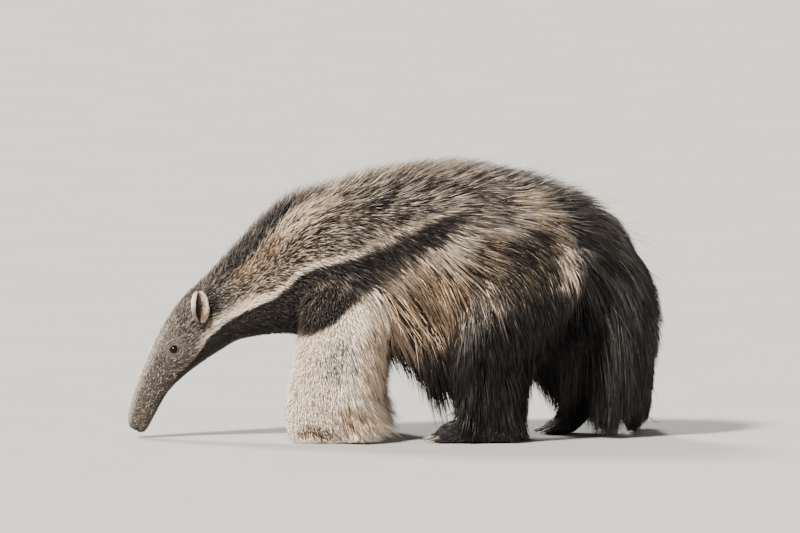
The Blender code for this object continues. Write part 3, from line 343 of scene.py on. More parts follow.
class Form:
    """One lofted form of the body: its sections, from which any point's place on it is read."""

    def __init__(self, name, centre, up, across, high, low, wide, narrow, coats):
        count = len(centre)
        self.name = name
        self.centre = centre
        self.up = unit(np.broadcast_to(up, (count, 3)).astype(float))
        self.across = unit(np.broadcast_to(across, (count, 3)).astype(float))
        self.along = unit(np.gradient(centre, axis=0))
        facing = np.cross(self.across, self.up)
        self.facing = facing * np.sign(dot(facing, self.along))
        self.high = high
        self.low = low
        self.wide = wide
        self.narrow = narrow
        self.coats = coats

    def section(self, bm, i, sides=RING_SIDES):
        """One section of the skin as a ring of edges."""
        ring = bmesh.ops.create_circle(bm, segments=sides, radius=1.0)["verts"]
        centre, up, across = (Vector(values[i]) for values in (self.centre, self.up, self.across))
        for corner in ring:
            side, rise = corner.co.x, corner.co.y
            deep = self.high[i] if rise > 0 else self.low[i]
            wide = side * self.wide[i] * (1 - self.narrow[i] * rise)
            corner.co = centre + up * (rise * deep) + across * wide
        return ring_edges(ring)

    def loft(self, bm):
        """The form as a closed skin."""
        bridge_rings(bm, [self.section(bm, i) for i in range(len(self.centre))])

    def locate(self, points):
        """For each point: its place along the form, how far it lies up and across from the middle
        line, and how full the section is there, which is 1 on the skin."""
        plane = points @ self.facing.T - (self.centre * self.facing).sum(1)
        square = (points**2).sum(1)[:, None] - 2 * points @ self.centre.T + (self.centre**2).sum(1)
        nearest = np.argmin(np.abs(plane) + 0.15 * np.sqrt(np.maximum(square, 0)), axis=1)
        steps = np.linalg.norm(np.diff(self.centre, axis=0), axis=1)
        step = np.append(steps, steps[-1])[nearest]
        off = plane[np.arange(len(points)), nearest]
        place = np.clip(nearest + np.clip(off / step, -0.6, 0.6), 0, len(self.centre) - 1)
        reach = points - self.at(self.centre, place)
        rise = (reach * self.at(self.up, place)).sum(1)
        side = (reach * self.at(self.across, place)).sum(1)
        beyond = np.abs((reach * self.at(self.facing, place)).sum(1))
        deep = np.where(rise > 0, self.at(self.high, place), self.at(self.low, place))
        wide = self.at(self.wide, place)
        full = np.hypot(rise / deep, side / wide) + 0.7 * beyond / wide
        return place, rise / deep, side / wide, full

    @staticmethod
    def at(values, place):
        """The values of the sections, read between them."""
        low = np.minimum(place.astype(int), len(values) - 2)
        share = place - low
        if values.ndim > 1:
            share = share[:, None]
        return values[low] * (1 - share) + values[low + 1] * share


def trunk_form():
    rows = smooth_rows(TRUNK)
    x, z, deep, wide, lean, narrow, top, flank, below = rows.T
    lean = np.radians(lean)
    zero = np.zeros_like(x)
    up = np.stack((np.sin(lean), zero, np.cos(lean)), 1)
    centre = np.stack((x, zero, z), 1)
    coats = np.stack((top, flank, below), 1)
    return Form("trunk", centre, up, (0, 1, 0), deep - top, deep - below, wide - flank, narrow, coats)


def leg_form(name, rows, side, shift=0.0):
    x, y, z, long, wide, front, rear, beside = smooth_rows(rows).T
    ahead = x - long + front
    behind = x + long - rear
    centre = np.stack(((ahead + behind) / 2 + shift, y * side, z), 1)
    half = (behind - ahead) / 2
    coats = np.stack((front, beside, rear), 1)
    return Form(name, centre, (-1, 0, 0), (0, 1, 0), half, half, wide - beside, np.zeros_like(x), coats)


def foot_form(name, rows, side):
    x, z, high, wide = smooth_rows(rows).T
    centre = np.stack((x, np.full_like(x, HINDFOOT_Y * side), z), 1)
    along = unit(np.gradient(centre, axis=0))
    up = np.stack((along[:, 2], np.zeros_like(x), -along[:, 0]), 1)
    coats = np.full((len(x), 3), 0.002)
    return Form(name, centre, up, (0, 1, 0), high, high, wide, np.zeros_like(x), coats)


def tail_form():
    x, y, z, wide, deep, coat = smooth_rows(TAIL).T
    centre = np.stack((x, y, z), 1)
    along = unit(np.gradient(centre, axis=0))
    across = np.stack((-along[:, 1], along[:, 0] + 0.35, np.zeros_like(x)), 1)
    across = unit(across - along * dot(across, along))
    up = np.cross(along, across)
    coats = np.stack((coat, coat, coat), 1)
    return Form("tail", centre, up, across, deep - coat, deep - coat, wide - coat, np.zeros_like(x), coats)


FORMS = [trunk_form()]
for side_name, side_way in SIDES.items():
    FORMS.append(leg_form("foreleg_" + side_name, FORELEG, side_way, FORELEG_SHIFT[side_name]))
    FORMS.append(leg_form("hindleg_" + side_name, HINDLEG[side_name], side_way))
    FORMS.append(foot_form("hindfoot_" + side_name, HINDFOOT[side_name], side_way))
FORMS.append(tail_form())


def stand(name, data):
    """A new object in the scene, of this mesh, lens or lamp."""
    made = bpy.data.objects.new(name, data)
    bpy.context.scene.collection.objects.link(made)
    return made


def piece(name, bm, material=None):
    """A mesh object in the scene, at the tables' place. Settle moves it onto the origin later."""
    mesh = bpy.data.meshes.new(name)
    bmesh.ops.recalc_face_normals(bm, faces=bm.faces)
    bm.to_mesh(mesh)
    bm.free()
    mesh.shade_smooth()
    if material:
        mesh.materials.append(material)
    return stand(name, mesh)


def apply_modifiers(obj):
    bpy.context.view_layer.update()
    graph = bpy.context.evaluated_depsgraph_get()
    mesh = bpy.data.meshes.new_from_object(obj.evaluated_get(graph))
    obj.modifiers.clear()
    obj.data = mesh


def toe_places(rows, side):
    """Where each toe starts, and how it points."""
    x, _, _, wide = rows[-2]
    for i in range(TOE_COUNT):
        spread = i / (TOE_COUNT - 1) * 2 - 1
        y = side * (HINDFOOT_Y + spread * (wide - TOE_HALF_WIDTH))
        root = Vector((x - TOE_START + TOE_ARC * spread**2, y, TOE_Z))
        yield root, Vector((-1, side * spread * TOE_FAN, -0.05)).normalized()


def add_toes(bm, rows, side):
    for root, way in toe_places(rows, side):
        turn = way.to_track_quat("X", "Z").to_matrix().to_4x4()
        size = Matrix.Diagonal((TOE_LENGTH, TOE_HALF_WIDTH, TOE_HALF_HEIGHT, 1))
        place = Matrix.Translation(root + way * 0.002) @ turn @ size
        bmesh.ops.create_uvsphere(bm, u_segments=16, v_segments=10, radius=1.0, matrix=place)


def make_skin():
    """All forms of flesh as one smooth skin, flat under the feet."""
    bm = bmesh.new()
    for form in FORMS:
        form.loft(bm)
    for side, way in SIDES.items():
        (x, y, z), radii = WRIST_PAD
        place = Matrix.Translation((x + FORELEG_SHIFT[side], y * way, z)) @ Matrix.Diagonal((*radii, 1))
        bmesh.ops.create_uvsphere(bm, u_segments=20, v_segments=12, radius=1.0, matrix=place)
        add_toes(bm, HINDFOOT[side], way)
    skin = piece("skin", bm)
    remesh = skin.modifiers.new("skin", "REMESH")
    remesh.mode = "VOXEL"
    remesh.voxel_size = VOXEL
    ease = skin.modifiers.new("ease", "SMOOTH")
    ease.factor = 0.5
    ease.iterations = SKIN_EASE
    apply_modifiers(skin)
    return skin


def refine(bm, centre, radius):
    """Cuts the faces near a point finer."""
    near = [e for e in bm.edges if ((e.verts[0].co + e.verts[1].co) / 2 - centre).length < radius]
    bmesh.ops.subdivide_edges(bm, edges=near, cuts=1, use_grid_fill=True, smooth=0.6)


def ease_near(bm, centre, radius, times=8):
    """Evens out the points near a place."""
    near = [corner for corner in bm.verts if (corner.co - centre).length < radius]
    for _ in range(times):
        bmesh.ops.smooth_vert(bm, verts=near, factor=0.5, use_axis_x=True, use_axis_y=True, use_axis_z=True)


def bell(distance, width):
    return np.exp(-((distance / width) ** 2))


# The way along the eye's opening, how it faces ahead and up, and how far the skin lies out there.
EYE_LONG = Vector((math.cos(math.radians(52)), 0, math.sin(math.radians(52))))
EYE_OUT = (-0.12, 0.14)
EYE_PROUD = 0.005
# The folds round the eye: distance from its middle, width and height.
EYE_FOLDS = (
    (0.0086, 0.0016, 0.0013),
    (0.0108, 0.0013, -0.0009),
    (0.0130, 0.0013, 0.0010),
    (0.0156, 0.0014, -0.0009),
    (0.0184, 0.0017, 0.0012),
)
# Where the outer folds show: the way from the eye and how far to both sides, in degrees.
EYE_ARCS = ((124, 50), (-24, 34))
# The eyeball's radius, how far the folds reach, how near to the eye hair grows, and where its
# dark rim fades in.
EYE_RADIUS = 0.0084
EYE_REACH = 0.032
EYE_BARE = 0.0088
EYE_RIM = (0.0082, 0.0066)
# The skin is cut finer within these distances of the eyes and the snout's tip.
EYE_CUTS = (0.034, 0.027, 0.022)
EYE_EASE = 0.042
SNOUT_TIP = Vector((-0.527, 0, 0.018))
SNOUT_CUTS = (0.034, 0.026)
# The bare end of the nose: its middle and radius.
NOSE_BARE = ((-0.5325, 0, 0.018), 0.014)
LID_STRETCH = 1.18
LID_OPENING = 0.0056
LID_DEPTH = 0.0050
SNOUT_WAY = Vector((-0.35, 0, -0.94)).normalized()
SNOUT_UP = Vector((-0.94, 0, 0.35)).normalized()
NOSTRIL_PLACE = Vector((-0.5335, 0.0062, 0.0230))
# A nostril: how long it is for its width, its rim's distance, width and height, and its hole's
# width and depth.
NOSTRIL_LONG = 1.3
NOSTRIL_RIM = (0.0048, 0.0016, 0.0008)
NOSTRIL_HOLE = (0.0030, 0.0036)
# The mouth: its corner, its half width, its length, and how far its line is pressed in.
MOUTH_PLACE = Vector((-0.5180, 0.0, 0.0170))
MOUTH_HALF = 0.0012
MOUTH_LENGTH = 0.022
MOUTH_PINCH = 0.25
MOUTH_DEPTH = 0.002


def eye_frame(side):
    """The middle of the eye on the skin, and the ways outwards, along and across its opening."""
    centre = Vector((EYE_PLACE[0], EYE_PLACE[1] * side, EYE_PLACE[2]))
    out = Vector((EYE_OUT[0], side, EYE_OUT[1])).normalized()
    long = (EYE_LONG - out * EYE_LONG.dot(out)).normalized()
    return centre + out * EYE_PROUD, out, long, out.cross(long)


def eye_reach(points, side):
    """How far each point is from the eye's middle, as its folds run, and how strong they are."""
    centre, _, long, short = (np.array(part) for part in eye_frame(side))
    reach = points - centre
    a, b = reach @ long / LID_STRETCH, reach @ short
    distance = np.hypot(a, b)
    turn = np.degrees(np.arctan2(reach[:, 2], reach[:, 0]))
    strong = sum(bell((turn - way + 180) % 360 - 180, wide) for way, wide in EYE_ARCS)
    strong = np.clip((0.03 + strong) * (1 + 0.25 * FINE_WAVES.at(points)), 0, 1.2)
    near = np.linalg.norm(reach, axis=1) < EYE_REACH
    return np.where(near, distance, 1.0), strong


def shape_eyes(points):
    """Presses the eyes' openings in and raises the lids and the folds round them."""
    for side in SIDES.values():
        distance, strong = eye_reach(points, side)
        place, width, height = EYE_FOLDS[0]
        lift = height * bell(distance - place, width)
        for place, width, height in EYE_FOLDS[1:]:
            lift += strong * height * bell(distance - place, width)
        lift -= LID_DEPTH * np.clip(1 - (distance / LID_OPENING) ** 4, 0, 1)
        points = points + lift[:, None] * np.array(eye_frame(side)[1])
    return points


def snout_reach(points, place):
    """How far each point is from a place, along the snout's tip, across it and off it."""
    away = points - np.array(place)
    return away @ np.array(SNOUT_WAY), away[:, 1], away @ np.array(SNOUT_UP)


def shape_snout(points):
    """Presses in the nostrils and the line of the mouth."""
    up = np.array(SNOUT_UP)
    for side in SIDES.values():
        along, across, off = snout_reach(points, (NOSTRIL_PLACE.x, NOSTRIL_PLACE.y * side, NOSTRIL_PLACE.z))
        distance = np.sqrt((along / NOSTRIL_LONG) ** 2 + across**2 + (off / 2) ** 2)
        (rim, rim_wide, rim_high), (hole_wide, hole_deep) = NOSTRIL_RIM, NOSTRIL_HOLE
        lift = rim_high * bell(distance - rim, rim_wide) - hole_deep * bell(distance, hole_wide)
        points = points + lift[:, None] * up
    along, across, off = snout_reach(points, MOUTH_PLACE)
    inside = bell(off, MOUTH_HALF) * (along > -MOUTH_LENGTH) * (np.abs(off) < 0.01)
    pinch = np.stack((along * 0, -across * MOUTH_PINCH, along * 0), 1)
    return points + inside[:, None] * (pinch - np.array(SNOUT_WAY) * MOUTH_DEPTH)


def finish_skin(skin):
    """Cuts the skin finer at the eyes and the snout, flattens the soles and shapes the face."""
    bm = bmesh.new()
    bm.from_mesh(skin.data)
    for side in SIDES.values():
        for radius in EYE_CUTS:
            refine(bm, eye_frame(side)[0], radius)
        ease_near(bm, eye_frame(side)[0], EYE_EASE)
    for radius in SNOUT_CUTS:
        refine(bm, SNOUT_TIP, radius)
    bmesh.ops.bisect_plane(
        bm, geom=bm.verts[:] + bm.edges[:] + bm.faces[:], plane_co=(0, 0, SOLE), plane_no=(0, 0, -1),
        clear_outer=True,
    )
    bmesh.ops.holes_fill(bm, edges=[e for e in bm.edges if e.is_boundary], sides=0)
    bmesh.ops.triangulate(bm, faces=bm.faces)
    bmesh.ops.recalc_face_normals(bm, faces=bm.faces)
    bm.to_mesh(skin.data)
    bm.free()
    points, _, _ = read_mesh(skin.data)
    points = shape_snout(shape_eyes(points))
    skin.data.vertices.foreach_set("co", points.astype(np.float32).ravel())
    skin.data.update()
    skin.data.shade_smooth()


def read_mesh(mesh):
    """Points, outward directions and triangles of a mesh, as arrays."""
    points = np.empty(len(mesh.vertices) * 3, np.float32)
    mesh.vertices.foreach_get("co", points)
    normals = np.empty(len(mesh.vertices) * 3, np.float32)
    mesh.vertices.foreach_get("normal", normals)
    mesh.calc_loop_triangles()
    corners = np.empty(len(mesh.loop_triangles) * 3, np.int32)
    mesh.loop_triangles.foreach_get("vertices", corners)
    return points.reshape(-1, 3).astype(float), normals.reshape(-1, 3).astype(float), corners.reshape(-1, 3)


def add_layers(mesh, layers):
    for key, values in layers.items():
        mesh.attributes.new(key, "FLOAT", "POINT").data.foreach_set("value", values.astype(np.float32))


def read_layer(mesh, key):
    values = np.empty(len(mesh.vertices), np.float32)
    mesh.attributes[key].data.foreach_get("value", values)
    return values.astype(float)


# How much lower a point shows in the side view for each metre that it lies off the middle.
SIDE_DROP = 0.066
# The markings in the side view. STRIPE_TOP is the black stripe's upper edge, which the white line
# follows, and STRIPE_BELOW its lower edge: x and z.
STRIPE_TOP = (
    (-0.500, 0.028), (-0.470, 0.080), (-0.455, 0.096), (-0.432, 0.132), (-0.409, 0.152),
    (-0.390, 0.174), (-0.372, 0.202), (-0.340, 0.232), (-0.290, 0.262), (-0.236, 0.285),
    (-0.205, 0.310), (-0.184, 0.332), (-0.150, 0.348), (-0.123, 0.354), (-0.090, 0.362),
    (-0.050, 0.376), (-0.007, 0.396), (0.043, 0.424), (0.093, 0.446), (0.140, 0.462), (0.172, 0.468),
)
STRIPE_BELOW = (
    (-0.470, 0.000), (-0.200, 0.000), (-0.186, 0.203), (-0.160, 0.208), (-0.113, 0.233), (-0.080, 0.266),
    (-0.041, 0.302), (0.020, 0.351), (0.060, 0.376), (0.102, 0.402), (0.140, 0.436), (0.174, 0.469),
)
# The white line's width and how white it is, by x.
WHITE_LINE = (
    (-0.445, 0.008, 0.0),
    (-0.405, 0.012, 0.2),
    (-0.370, 0.028, 0.70),
    (-0.300, 0.022, 0.88),
    (-0.236, 0.015, 1.0),
    (-0.120, 0.013, 1.0),
    (0.060, 0.012, 1.0),
    (0.140, 0.009, 0.9),
    (0.185, 0.006, 0.0),
)
# The lower edge of the tan hair on the flank.
TAN_BELOW = ((-0.020, 0.120), (0.041, 0.150), (0.155, 0.215), (0.318, 0.292))
# The dark mane's edge: the trunk's rows, and its angle from the top there.
MANE = ((8.0, 10.0, 11.0, 11.8, 13.0), (48, 46, 38, 22, 10))
# The coats by name: how light and how warm, and the shares of pale hair and dark hair.
COATS = {
    "plain": (0.44, 0.42, 0.26, 0.28),
    "face": (0.39, 0.22, 0.16, 0.20),
    "brow": (0.66, 0.14, 0.20, 0.06),
    "nose": (0.34, 0.20, 0.10, 0.20),
    # Painted light and shade on the eye's folds: paler on their crests, darker in the grooves between them.
    "eye fold painted light": (0.70, 0.20, 0.30, 0.0),
    "eye groove painted shade": (0.24, 0.25, 0.0, 0.30),
    "eye rim": (0.05, 0.30, 0.0, 0.30),
    "mane": (0.15, 0.30, 0.22, 0.50),
    "top of the rump": (0.40, 0.20, 0.40, 0.42),
    "under the stripe": (1.0, 0.36, 0.25, 0.02),
    "tan flank": (0.56, 0.72, 0.38, 0.38),
    "haunch": (0.24, 0.62, 0.34, 0.46),
    "skirt": (0.09, 0.30, 0.24, 0.30),
    "rear": (0.17, 0.12, 0.42, 0.38),
    "low rear": (0.08, 0.12, 0.24, 0.30),
    "belly": (0.08, 0.45, 0.08, 0.30),
    "foreleg": (1.0, 0.40, 0.24, 0.02),
    "hind leg": (0.06, 0.35, 0.10, 0.20),
    "tail": (0.10, 0.06, 0.36, 0.34),
    "tail's end": (0.07, 0.10, 0.12, 0.30),
    "rump streak": (0.64, 0.50, 0.42, 0.20),
}
# Soft patches of the coat in the side view: centre, half sizes, turn in degrees, then how light
# and how warm the coat is there, and how much of it is pale hair and dark hair.
BODY_PATCHES = (
    ((-0.275, 0.372), (0.085, 0.036), 35, 0.52, 0.70, 0.22, 0.20),
    ((-0.180, 0.462), (0.085, 0.046), 38, 0.72, 0.52, 0.42, 0.20),
    ((-0.085, 0.414), (0.080, 0.022), 20, 0.48, 0.28, 0.26, 0.26),
    ((0.080, 0.487), (0.200, 0.046), -3, 0.38, 0.32, 0.38, 0.44),
)
FLANK_PATCHES = (
    ((0.190, 0.446), (0.070, 0.030), 10, 0.52, 0.36, 0.40, 0.30),
    ((0.060, 0.300), (0.060, 0.100), -52, 0.60, 0.80, 0.34, 0.34),
    ((0.290, 0.380), (0.060, 0.090), -20, 0.20, 0.55, 0.26, 0.50),
    ((0.190, 0.245), (0.060, 0.050), 20, 0.20, 0.60, 0.26, 0.48),
)
REAR_PATCHES = (
    ((0.285, 0.478), (0.065, 0.018), -38, 0.66, 0.60, 0.50, 0.22),
    ((0.350, 0.388), (0.100, 0.018), -68, 0.42, 0.50, 0.46, 0.30),
)
# The pale streak that runs down over the rump: its height and how far back it lies there.
RUMP_STREAK = ((0.274, 0.391, 0.467), (0.378, 0.353, 0.286))
FORELEG_PATCHES = (
    ((-0.100, 0.150), (0.040, 0.050), 0, 0.84, 0.25, 0.26, 0.08),
    ((-0.020, 0.150), (0.040, 0.130), 0, 0.76, 0.58, 0.34, 0.16),
    ((-0.140, 0.008), (0.060, 0.016), 0, 0.62, 0.50, 0.16, 0.16),
    ((-0.066, 0.040), (0.036, 0.030), 0, 0.70, 0.66, 0.24, 0.18),
)
# A painted shadow: a dark patch on the head's coat just behind the ear, where the ear shades it.
EAR_PAINTED_SHADOW = ((-0.366, 0.268), (0.012, 0.032), 0, 0.14, 0.3, 0.1, 0.5)
STRIPE_MIDDLE = ((-0.133, 0.293), (0.075, 0.038), 40)


def seen_height(y, z):
    """The height at which a point shows in the side view, from a little above."""
    return z - SIDE_DROP * np.abs(y)


def along_line(line, x, column=1):
    return np.interp(x, [row[0] for row in line], [row[column] for row in line])


def ramp(values, start, end):
    """0 at the start and 1 at the end, eased."""
    share = np.clip((values - start) / (end - start), 0, 1)
    return share * share * (3 - 2 * share)


def patch(x, z, centre, half, turn=0.0):
    """A soft oval patch in the side view."""
    angle = math.radians(turn)
    a = (x - centre[0]) * math.cos(angle) + (z - centre[1]) * math.sin(angle)
    b = (z - centre[1]) * math.cos(angle) - (x - centre[0]) * math.sin(angle)
    return 1 - ramp(np.hypot(a / half[0], b / half[1]), 0.55, 1.20)


def markings(points, where, waver):
    """The coat at each point: how light and how warm it is, and its shares of pale and dark hair.
    The stripe and the white line come later. Waver shifts the edges a little."""
    x, y, z = points.T
    x = x + waver[:, 0]
    z = seen_height(y, z) + waver[:, 1]
    row = where["trunk"]["place"] / ROWS_BETWEEN
    angle = where["trunk"]["angle"]
    weight = where["weight"]
    coat = np.repeat(np.array(COATS["plain"])[:, None], len(x), 1)

    def paint(colours, mask):
        nonlocal coat
        coat = coat + (np.array(colours)[:, None] - coat) * mask

    def paint_patches(patches, mask=1.0):
        for centre, half, turn, *colours in patches:
            paint(colours, patch(x, z, centre, half, turn) * mask)

    paint(COATS["face"], ramp(row, 9.6, 7.6))
    paint(COATS["brow"], ramp(row, 7.8, 4.0) * ramp(angle, 66, 26))
    paint(COATS["nose"], ramp(row, 1.2, 0.0))
    for side in SIDES.values():
        distance, strong = eye_reach(points, side)
        for place, width, height in EYE_FOLDS[1:]:
            # The folds' relief painted in: paler on each crest and darker in each groove, as light and shade
            # fall on them.
            ridge = bell(distance - place, width * 1.1) * strong
            paint(COATS["eye fold painted light" if height > 0 else "eye groove painted shade"], 0.75 * ridge)
        paint(COATS["eye rim"], ramp(distance, *EYE_RIM))
    # The first patch is the painted shadow behind the ear.
    paint_patches((EAR_PAINTED_SHADOW, *BODY_PATCHES))
    mane = np.interp(row, *MANE)
    along_mane = ramp(row, 8.0, 9.2) * ramp(row, 13.2, 12.4)
    paint(COATS["mane"], ramp(angle, mane + 5, mane - 5) * along_mane)
    paint(COATS["top of the rump"], ramp(x, 0.12, 0.26) * ramp(z, 0.44, 0.52))
    deep = along_line(STRIPE_BELOW, x) - z
    flank = ramp(x, -0.18, -0.14)
    paint(COATS["under the stripe"], ramp(deep, 0.000, 0.012) * flank)
    paint(COATS["tan flank"], ramp(deep, 0.050, 0.110) * flank)
    paint(COATS["haunch"], ramp(x, 0.10, 0.22) * ramp(deep, 0.03, 0.07))
    paint_patches(FLANK_PATCHES)
    under_tan = along_line(TAN_BELOW, x) - z
    paint(COATS["skirt"], ramp(under_tan, -0.030, 0.030) * ramp(x, -0.02, 0.02))
    paint(COATS["rear"], ramp(x, 0.30, 0.38))
    paint(COATS["low rear"], ramp(x, 0.28, 0.34) * ramp(z, 0.30, 0.20))
    paint_patches(REAR_PATCHES)
    paint(COATS["belly"], ramp(angle, 136, 152) * ramp(row, 12.0, 13.5) * weight["trunk"])
    for side in SIDES:
        foreleg = weight["foreleg_" + side] * ramp(z, 0.34, 0.25)
        paint(COATS["foreleg"], foreleg)
        paint_patches(FORELEG_PATCHES, foreleg)
        hindleg = np.maximum(weight["hindleg_" + side], weight["hindfoot_" + side])
        paint(COATS["hind leg"], hindleg * ramp(under_tan, -0.020, 0.045))
    paint(COATS["tail"], weight["tail"])
    paint(COATS["tail's end"], weight["tail"] * ramp(x, 0.49, 0.53))
    streak = bell(x - np.interp(z, *RUMP_STREAK), 0.011) * ramp(z, 0.25, 0.30) * ramp(z, 0.485, 0.465)
    paint(COATS["rump streak"], streak * ramp(np.abs(y), 0.0, 0.02))
    return coat


def add_lines(x, z, light, warm, pale, clear):
    """Draws the black stripe and the white line over light and warm. Pale is 1 on pale hair, and
    clear is 0 where the legs and the tail cover them."""
    top = along_line(STRIPE_TOP, x)
    below = along_line(STRIPE_BELOW, x)
    stripe = ramp(top - z, -0.001, 0.004) * ramp(z - below, -0.004, 0.006) * ramp(x, 0.178, 0.165)
    stripe = stripe * clear * ramp(x, -0.490, -0.46)
    grey = patch(x, z, *STRIPE_MIDDLE)
    edge = bell(top - z, 0.012)
    inner = 0.16 + 0.15 * pale + grey * (0.03 + 0.14 * pale)
    light = light + (inner - 0.12 * edge - light) * stripe
    warm = warm + (0.35 - warm) * stripe
    low = ramp(along_line(TAN_BELOW, x) - z, -0.014, 0.034) * ramp(x, -0.030, 0.0) * clear
    light = light + (0.07 + 0.20 * pale - light) * low
    warm = warm + (0.20 - warm) * low
    wide = along_line(WHITE_LINE, x) * 1.15
    soft = 0.005 + 0.013 * ramp(x, -0.22, -0.34)
    line = ramp(z - top, -0.001, 0.003) * ramp(top + wide - z, -soft, soft) * along_line(WHITE_LINE, x, 2)
    line = line * clear
    return light + (0.98 - light) * line, warm + (0.38 - warm) * line


def clear_of_limbs(where, z):
    legs = np.maximum(where["weight"]["foreleg_left"], where["weight"]["foreleg_right"])
    return (1 - legs * ramp(z, 0.24, 0.20)) * (1 - where["weight"]["tail"])


def locate_all(points):
    """Where each point lies on each form, and how much it belongs to each."""
    found = {}
    fulls = []
    for form in FORMS:
        place, rise, side, full = form.locate(points)
        found[form.name] = {
            "place": place,
            "angle": np.degrees(np.arctan2(np.abs(side), rise)),
            "turn": np.degrees(np.arctan2(side, rise)),
        }
        fulls.append(full)
    fulls = np.array(fulls)
    share = np.exp(-(fulls - fulls.min(0)) / FORM_BLEND)
    share /= share.sum(0)
    found["weight"] = {form.name: share[i] for i, form in enumerate(FORMS)}
    return found


def across_angles(angle, values):
    """Values given at HAIR_ANGLES, read at each point's own angle."""
    low, high = HAIR_ANGLES[:-1], HAIR_ANGLES[1:]
    made = values[0].copy()
    for start, end, value in zip(low, high, values[1:]):
        made += (value - made) * ramp(angle, start, end)
    return made


def trunk_hair(form, place, angle, depth):
    rows = place / ROWS_BETWEEN
    zero = np.zeros(len(rows))
    length = across_angles(angle, [along_line(TRUNK_HAIR, rows, i) for i in (1, 2, 3, 4)])
    falls = (zero, along_line(TRUNK_HAIR, rows, 5), along_line(TRUNK_HAIR, rows, 6), zero + BELLY_FALL)
    fall = np.radians(across_angles(angle, falls))[:, None]
    way = form.at(form.along, place) * np.cos(fall) + DOWN * np.sin(fall)
    hang = along_line(HANG_LOW, rows) * ramp(angle, 86, 118)
    hang += along_line(HANG_FLANK, rows) * ramp(angle, 45, 75) * ramp(angle, 118, 86)
    mane = 0.16 * ramp(angle, 30, 10) * ramp(rows, 8.5, 10)
    lift = LIFT + (mane - 0.07 * ramp(rows, 9.5, 7.5))
    low = ramp(angle, 86, 100) * ramp(rows, 12.0, 13.5)
    tufts = along_line(TRUNK_TUFTS, rows) * (1 + (LOW_FEWER - 1) * low)
    width = along_line(TRUNK_TUFTS, rows, 2) * (1 + (LOW_WIDER - 1) * low)
    return way, length, depth, hang, lift, tufts, width


def foreleg_hair(form, place, angle, depth):
    share = place / (len(form.centre) - 1)
    behind = ramp(angle, 95, 140) * ramp(share, 0.1, 0.3)
    length = 0.020 + 0.070 * behind * ramp(share, 1.0, 0.75) - 0.010 * ramp(share, 0.6, 0.9)
    way = DOWN + BACK * (0.22 + 0.40 * behind[:, None])
    return way, length, depth, 0.35 * behind, LIFT + 0.15 * behind, *LIMB_TUFTS["foreleg"]


def hindleg_hair(form, place, angle, depth):
    share = place / (len(form.centre) - 1)
    ahead = ramp(angle, 60, 20)
    behind = ramp(angle, 100, 140) * ramp(share, 0.25, 0.45) * ramp(share, 1.0, 0.8)
    length = 0.090 + 0.040 * ahead - 0.060 * ramp(share, 0.70, 1.0) + 0.075 * behind
    depth = depth * (1 - 0.75 * ramp(share, 0.60, 0.95)) * (1 - 0.35 * ahead)
    way = DOWN + BACK * (0.25 + 0.35 * ramp(share, 0.60, 0.35)[:, None])
    return way, length, depth, 0.5 + 0.1 * ahead, LIFT, *LIMB_TUFTS["hindleg"]


def hindfoot_hair(form, place, angle, depth):
    return form.at(form.along, place), FOOT_HAIR, depth, 0.0, LIFT, *LIMB_TUFTS["hindfoot"]


def tail_hair(form, place, angle, depth):
    """The tail's hair: free on its outer side, a curtain that hangs on the inner one, and swept out
    at the end."""
    share = place / (len(form.centre) - 1)
    outer = ramp(angle, 80, 30)
    inner = ramp(angle, 100, 140)
    middle = ramp(share, 0.08, 0.22) * ramp(share, 0.48, 0.34)
    free = outer * middle
    curtain = ramp(angle, 70, 110) * ramp(share, 0.02, 0.12) * ramp(share, 0.62, 0.45)
    end = ramp(share, 0.80, 0.95)
    depth = depth * (1 - (0.35 + 0.40 * outer) * ramp(share, 0.38, 0.56))
    length = (0.190 - 0.085 * share) * (0.75 + 0.25 * middle - 0.42 * free) + 0.130 * curtain + 0.050 * end
    way = form.at(form.along, place) + form.at(form.up, place) * (0.22 * free[:, None])
    way = way + DOWN * (0.9 * inner[:, None]) - BACK * (0.45 * curtain[:, None])
    hang = (0.40 + 0.30 * inner + 0.10 * (1 - outer)) * (1 - 0.6 * outer * ramp(share, 0.20, 0.08))
    hang = (hang + (0.90 - hang) * curtain) * (1 - 0.8 * end)
    return way, length, depth, hang, LIFT + 0.34 * free, *LIMB_TUFTS["tail"]


HAIR_KEYS = ("length", "depth", "hang", "lift", "tufts", "width")
HAIR_OF = {
    "trunk": trunk_hair,
    "foreleg": foreleg_hair,
    "hindleg": hindleg_hair,
    "hindfoot": hindfoot_hair,
    "tail": tail_hair,
}


def hair_fields(points, where):
    """The lie of the coat at each point: heading, length, depth, hang, lift, tufts and half width."""
    fields = {key: np.zeros(len(points)) for key in HAIR_KEYS}
    heading = np.zeros((len(points), 3))
    for form in FORMS:
        place, angle = where[form.name]["place"], where[form.name]["angle"]
        weight = where["weight"][form.name]
        first, beside, last = form.at(form.coats, place).T
        depth = first + (beside - first) * ramp(angle, 20, 80)
        depth += (last - depth) * ramp(angle, 100, 150)
        way, *values = HAIR_OF[form.name.split("_")[0]](form, place, angle, depth)
        heading += unit(way) * weight[:, None]
        for key, value in zip(HAIR_KEYS, values):
            fields[key] += value * weight
    for side in SIDES.values():
        distance, _ = eye_reach(points, side)
        near = ramp(distance, *EYE_HAIR_EDGE)
        fields["length"] *= 1 - EYE_SHORTER * near
        fields["tufts"] *= 1 - EYE_FEWER * near
        ear_foot = np.array((EAR_PLACE[0], EAR_PLACE[1] * side, EAR_PLACE[2] - EAR_FOOT))
        near = ramp(np.linalg.norm(points - ear_foot, axis=1), *EAR_HAIR_EDGE)
        fields["length"] += EAR_LONGER * near
        fields["depth"] += EAR_DEEPER * near
    fields["heading"] = unit(heading)
    return fields


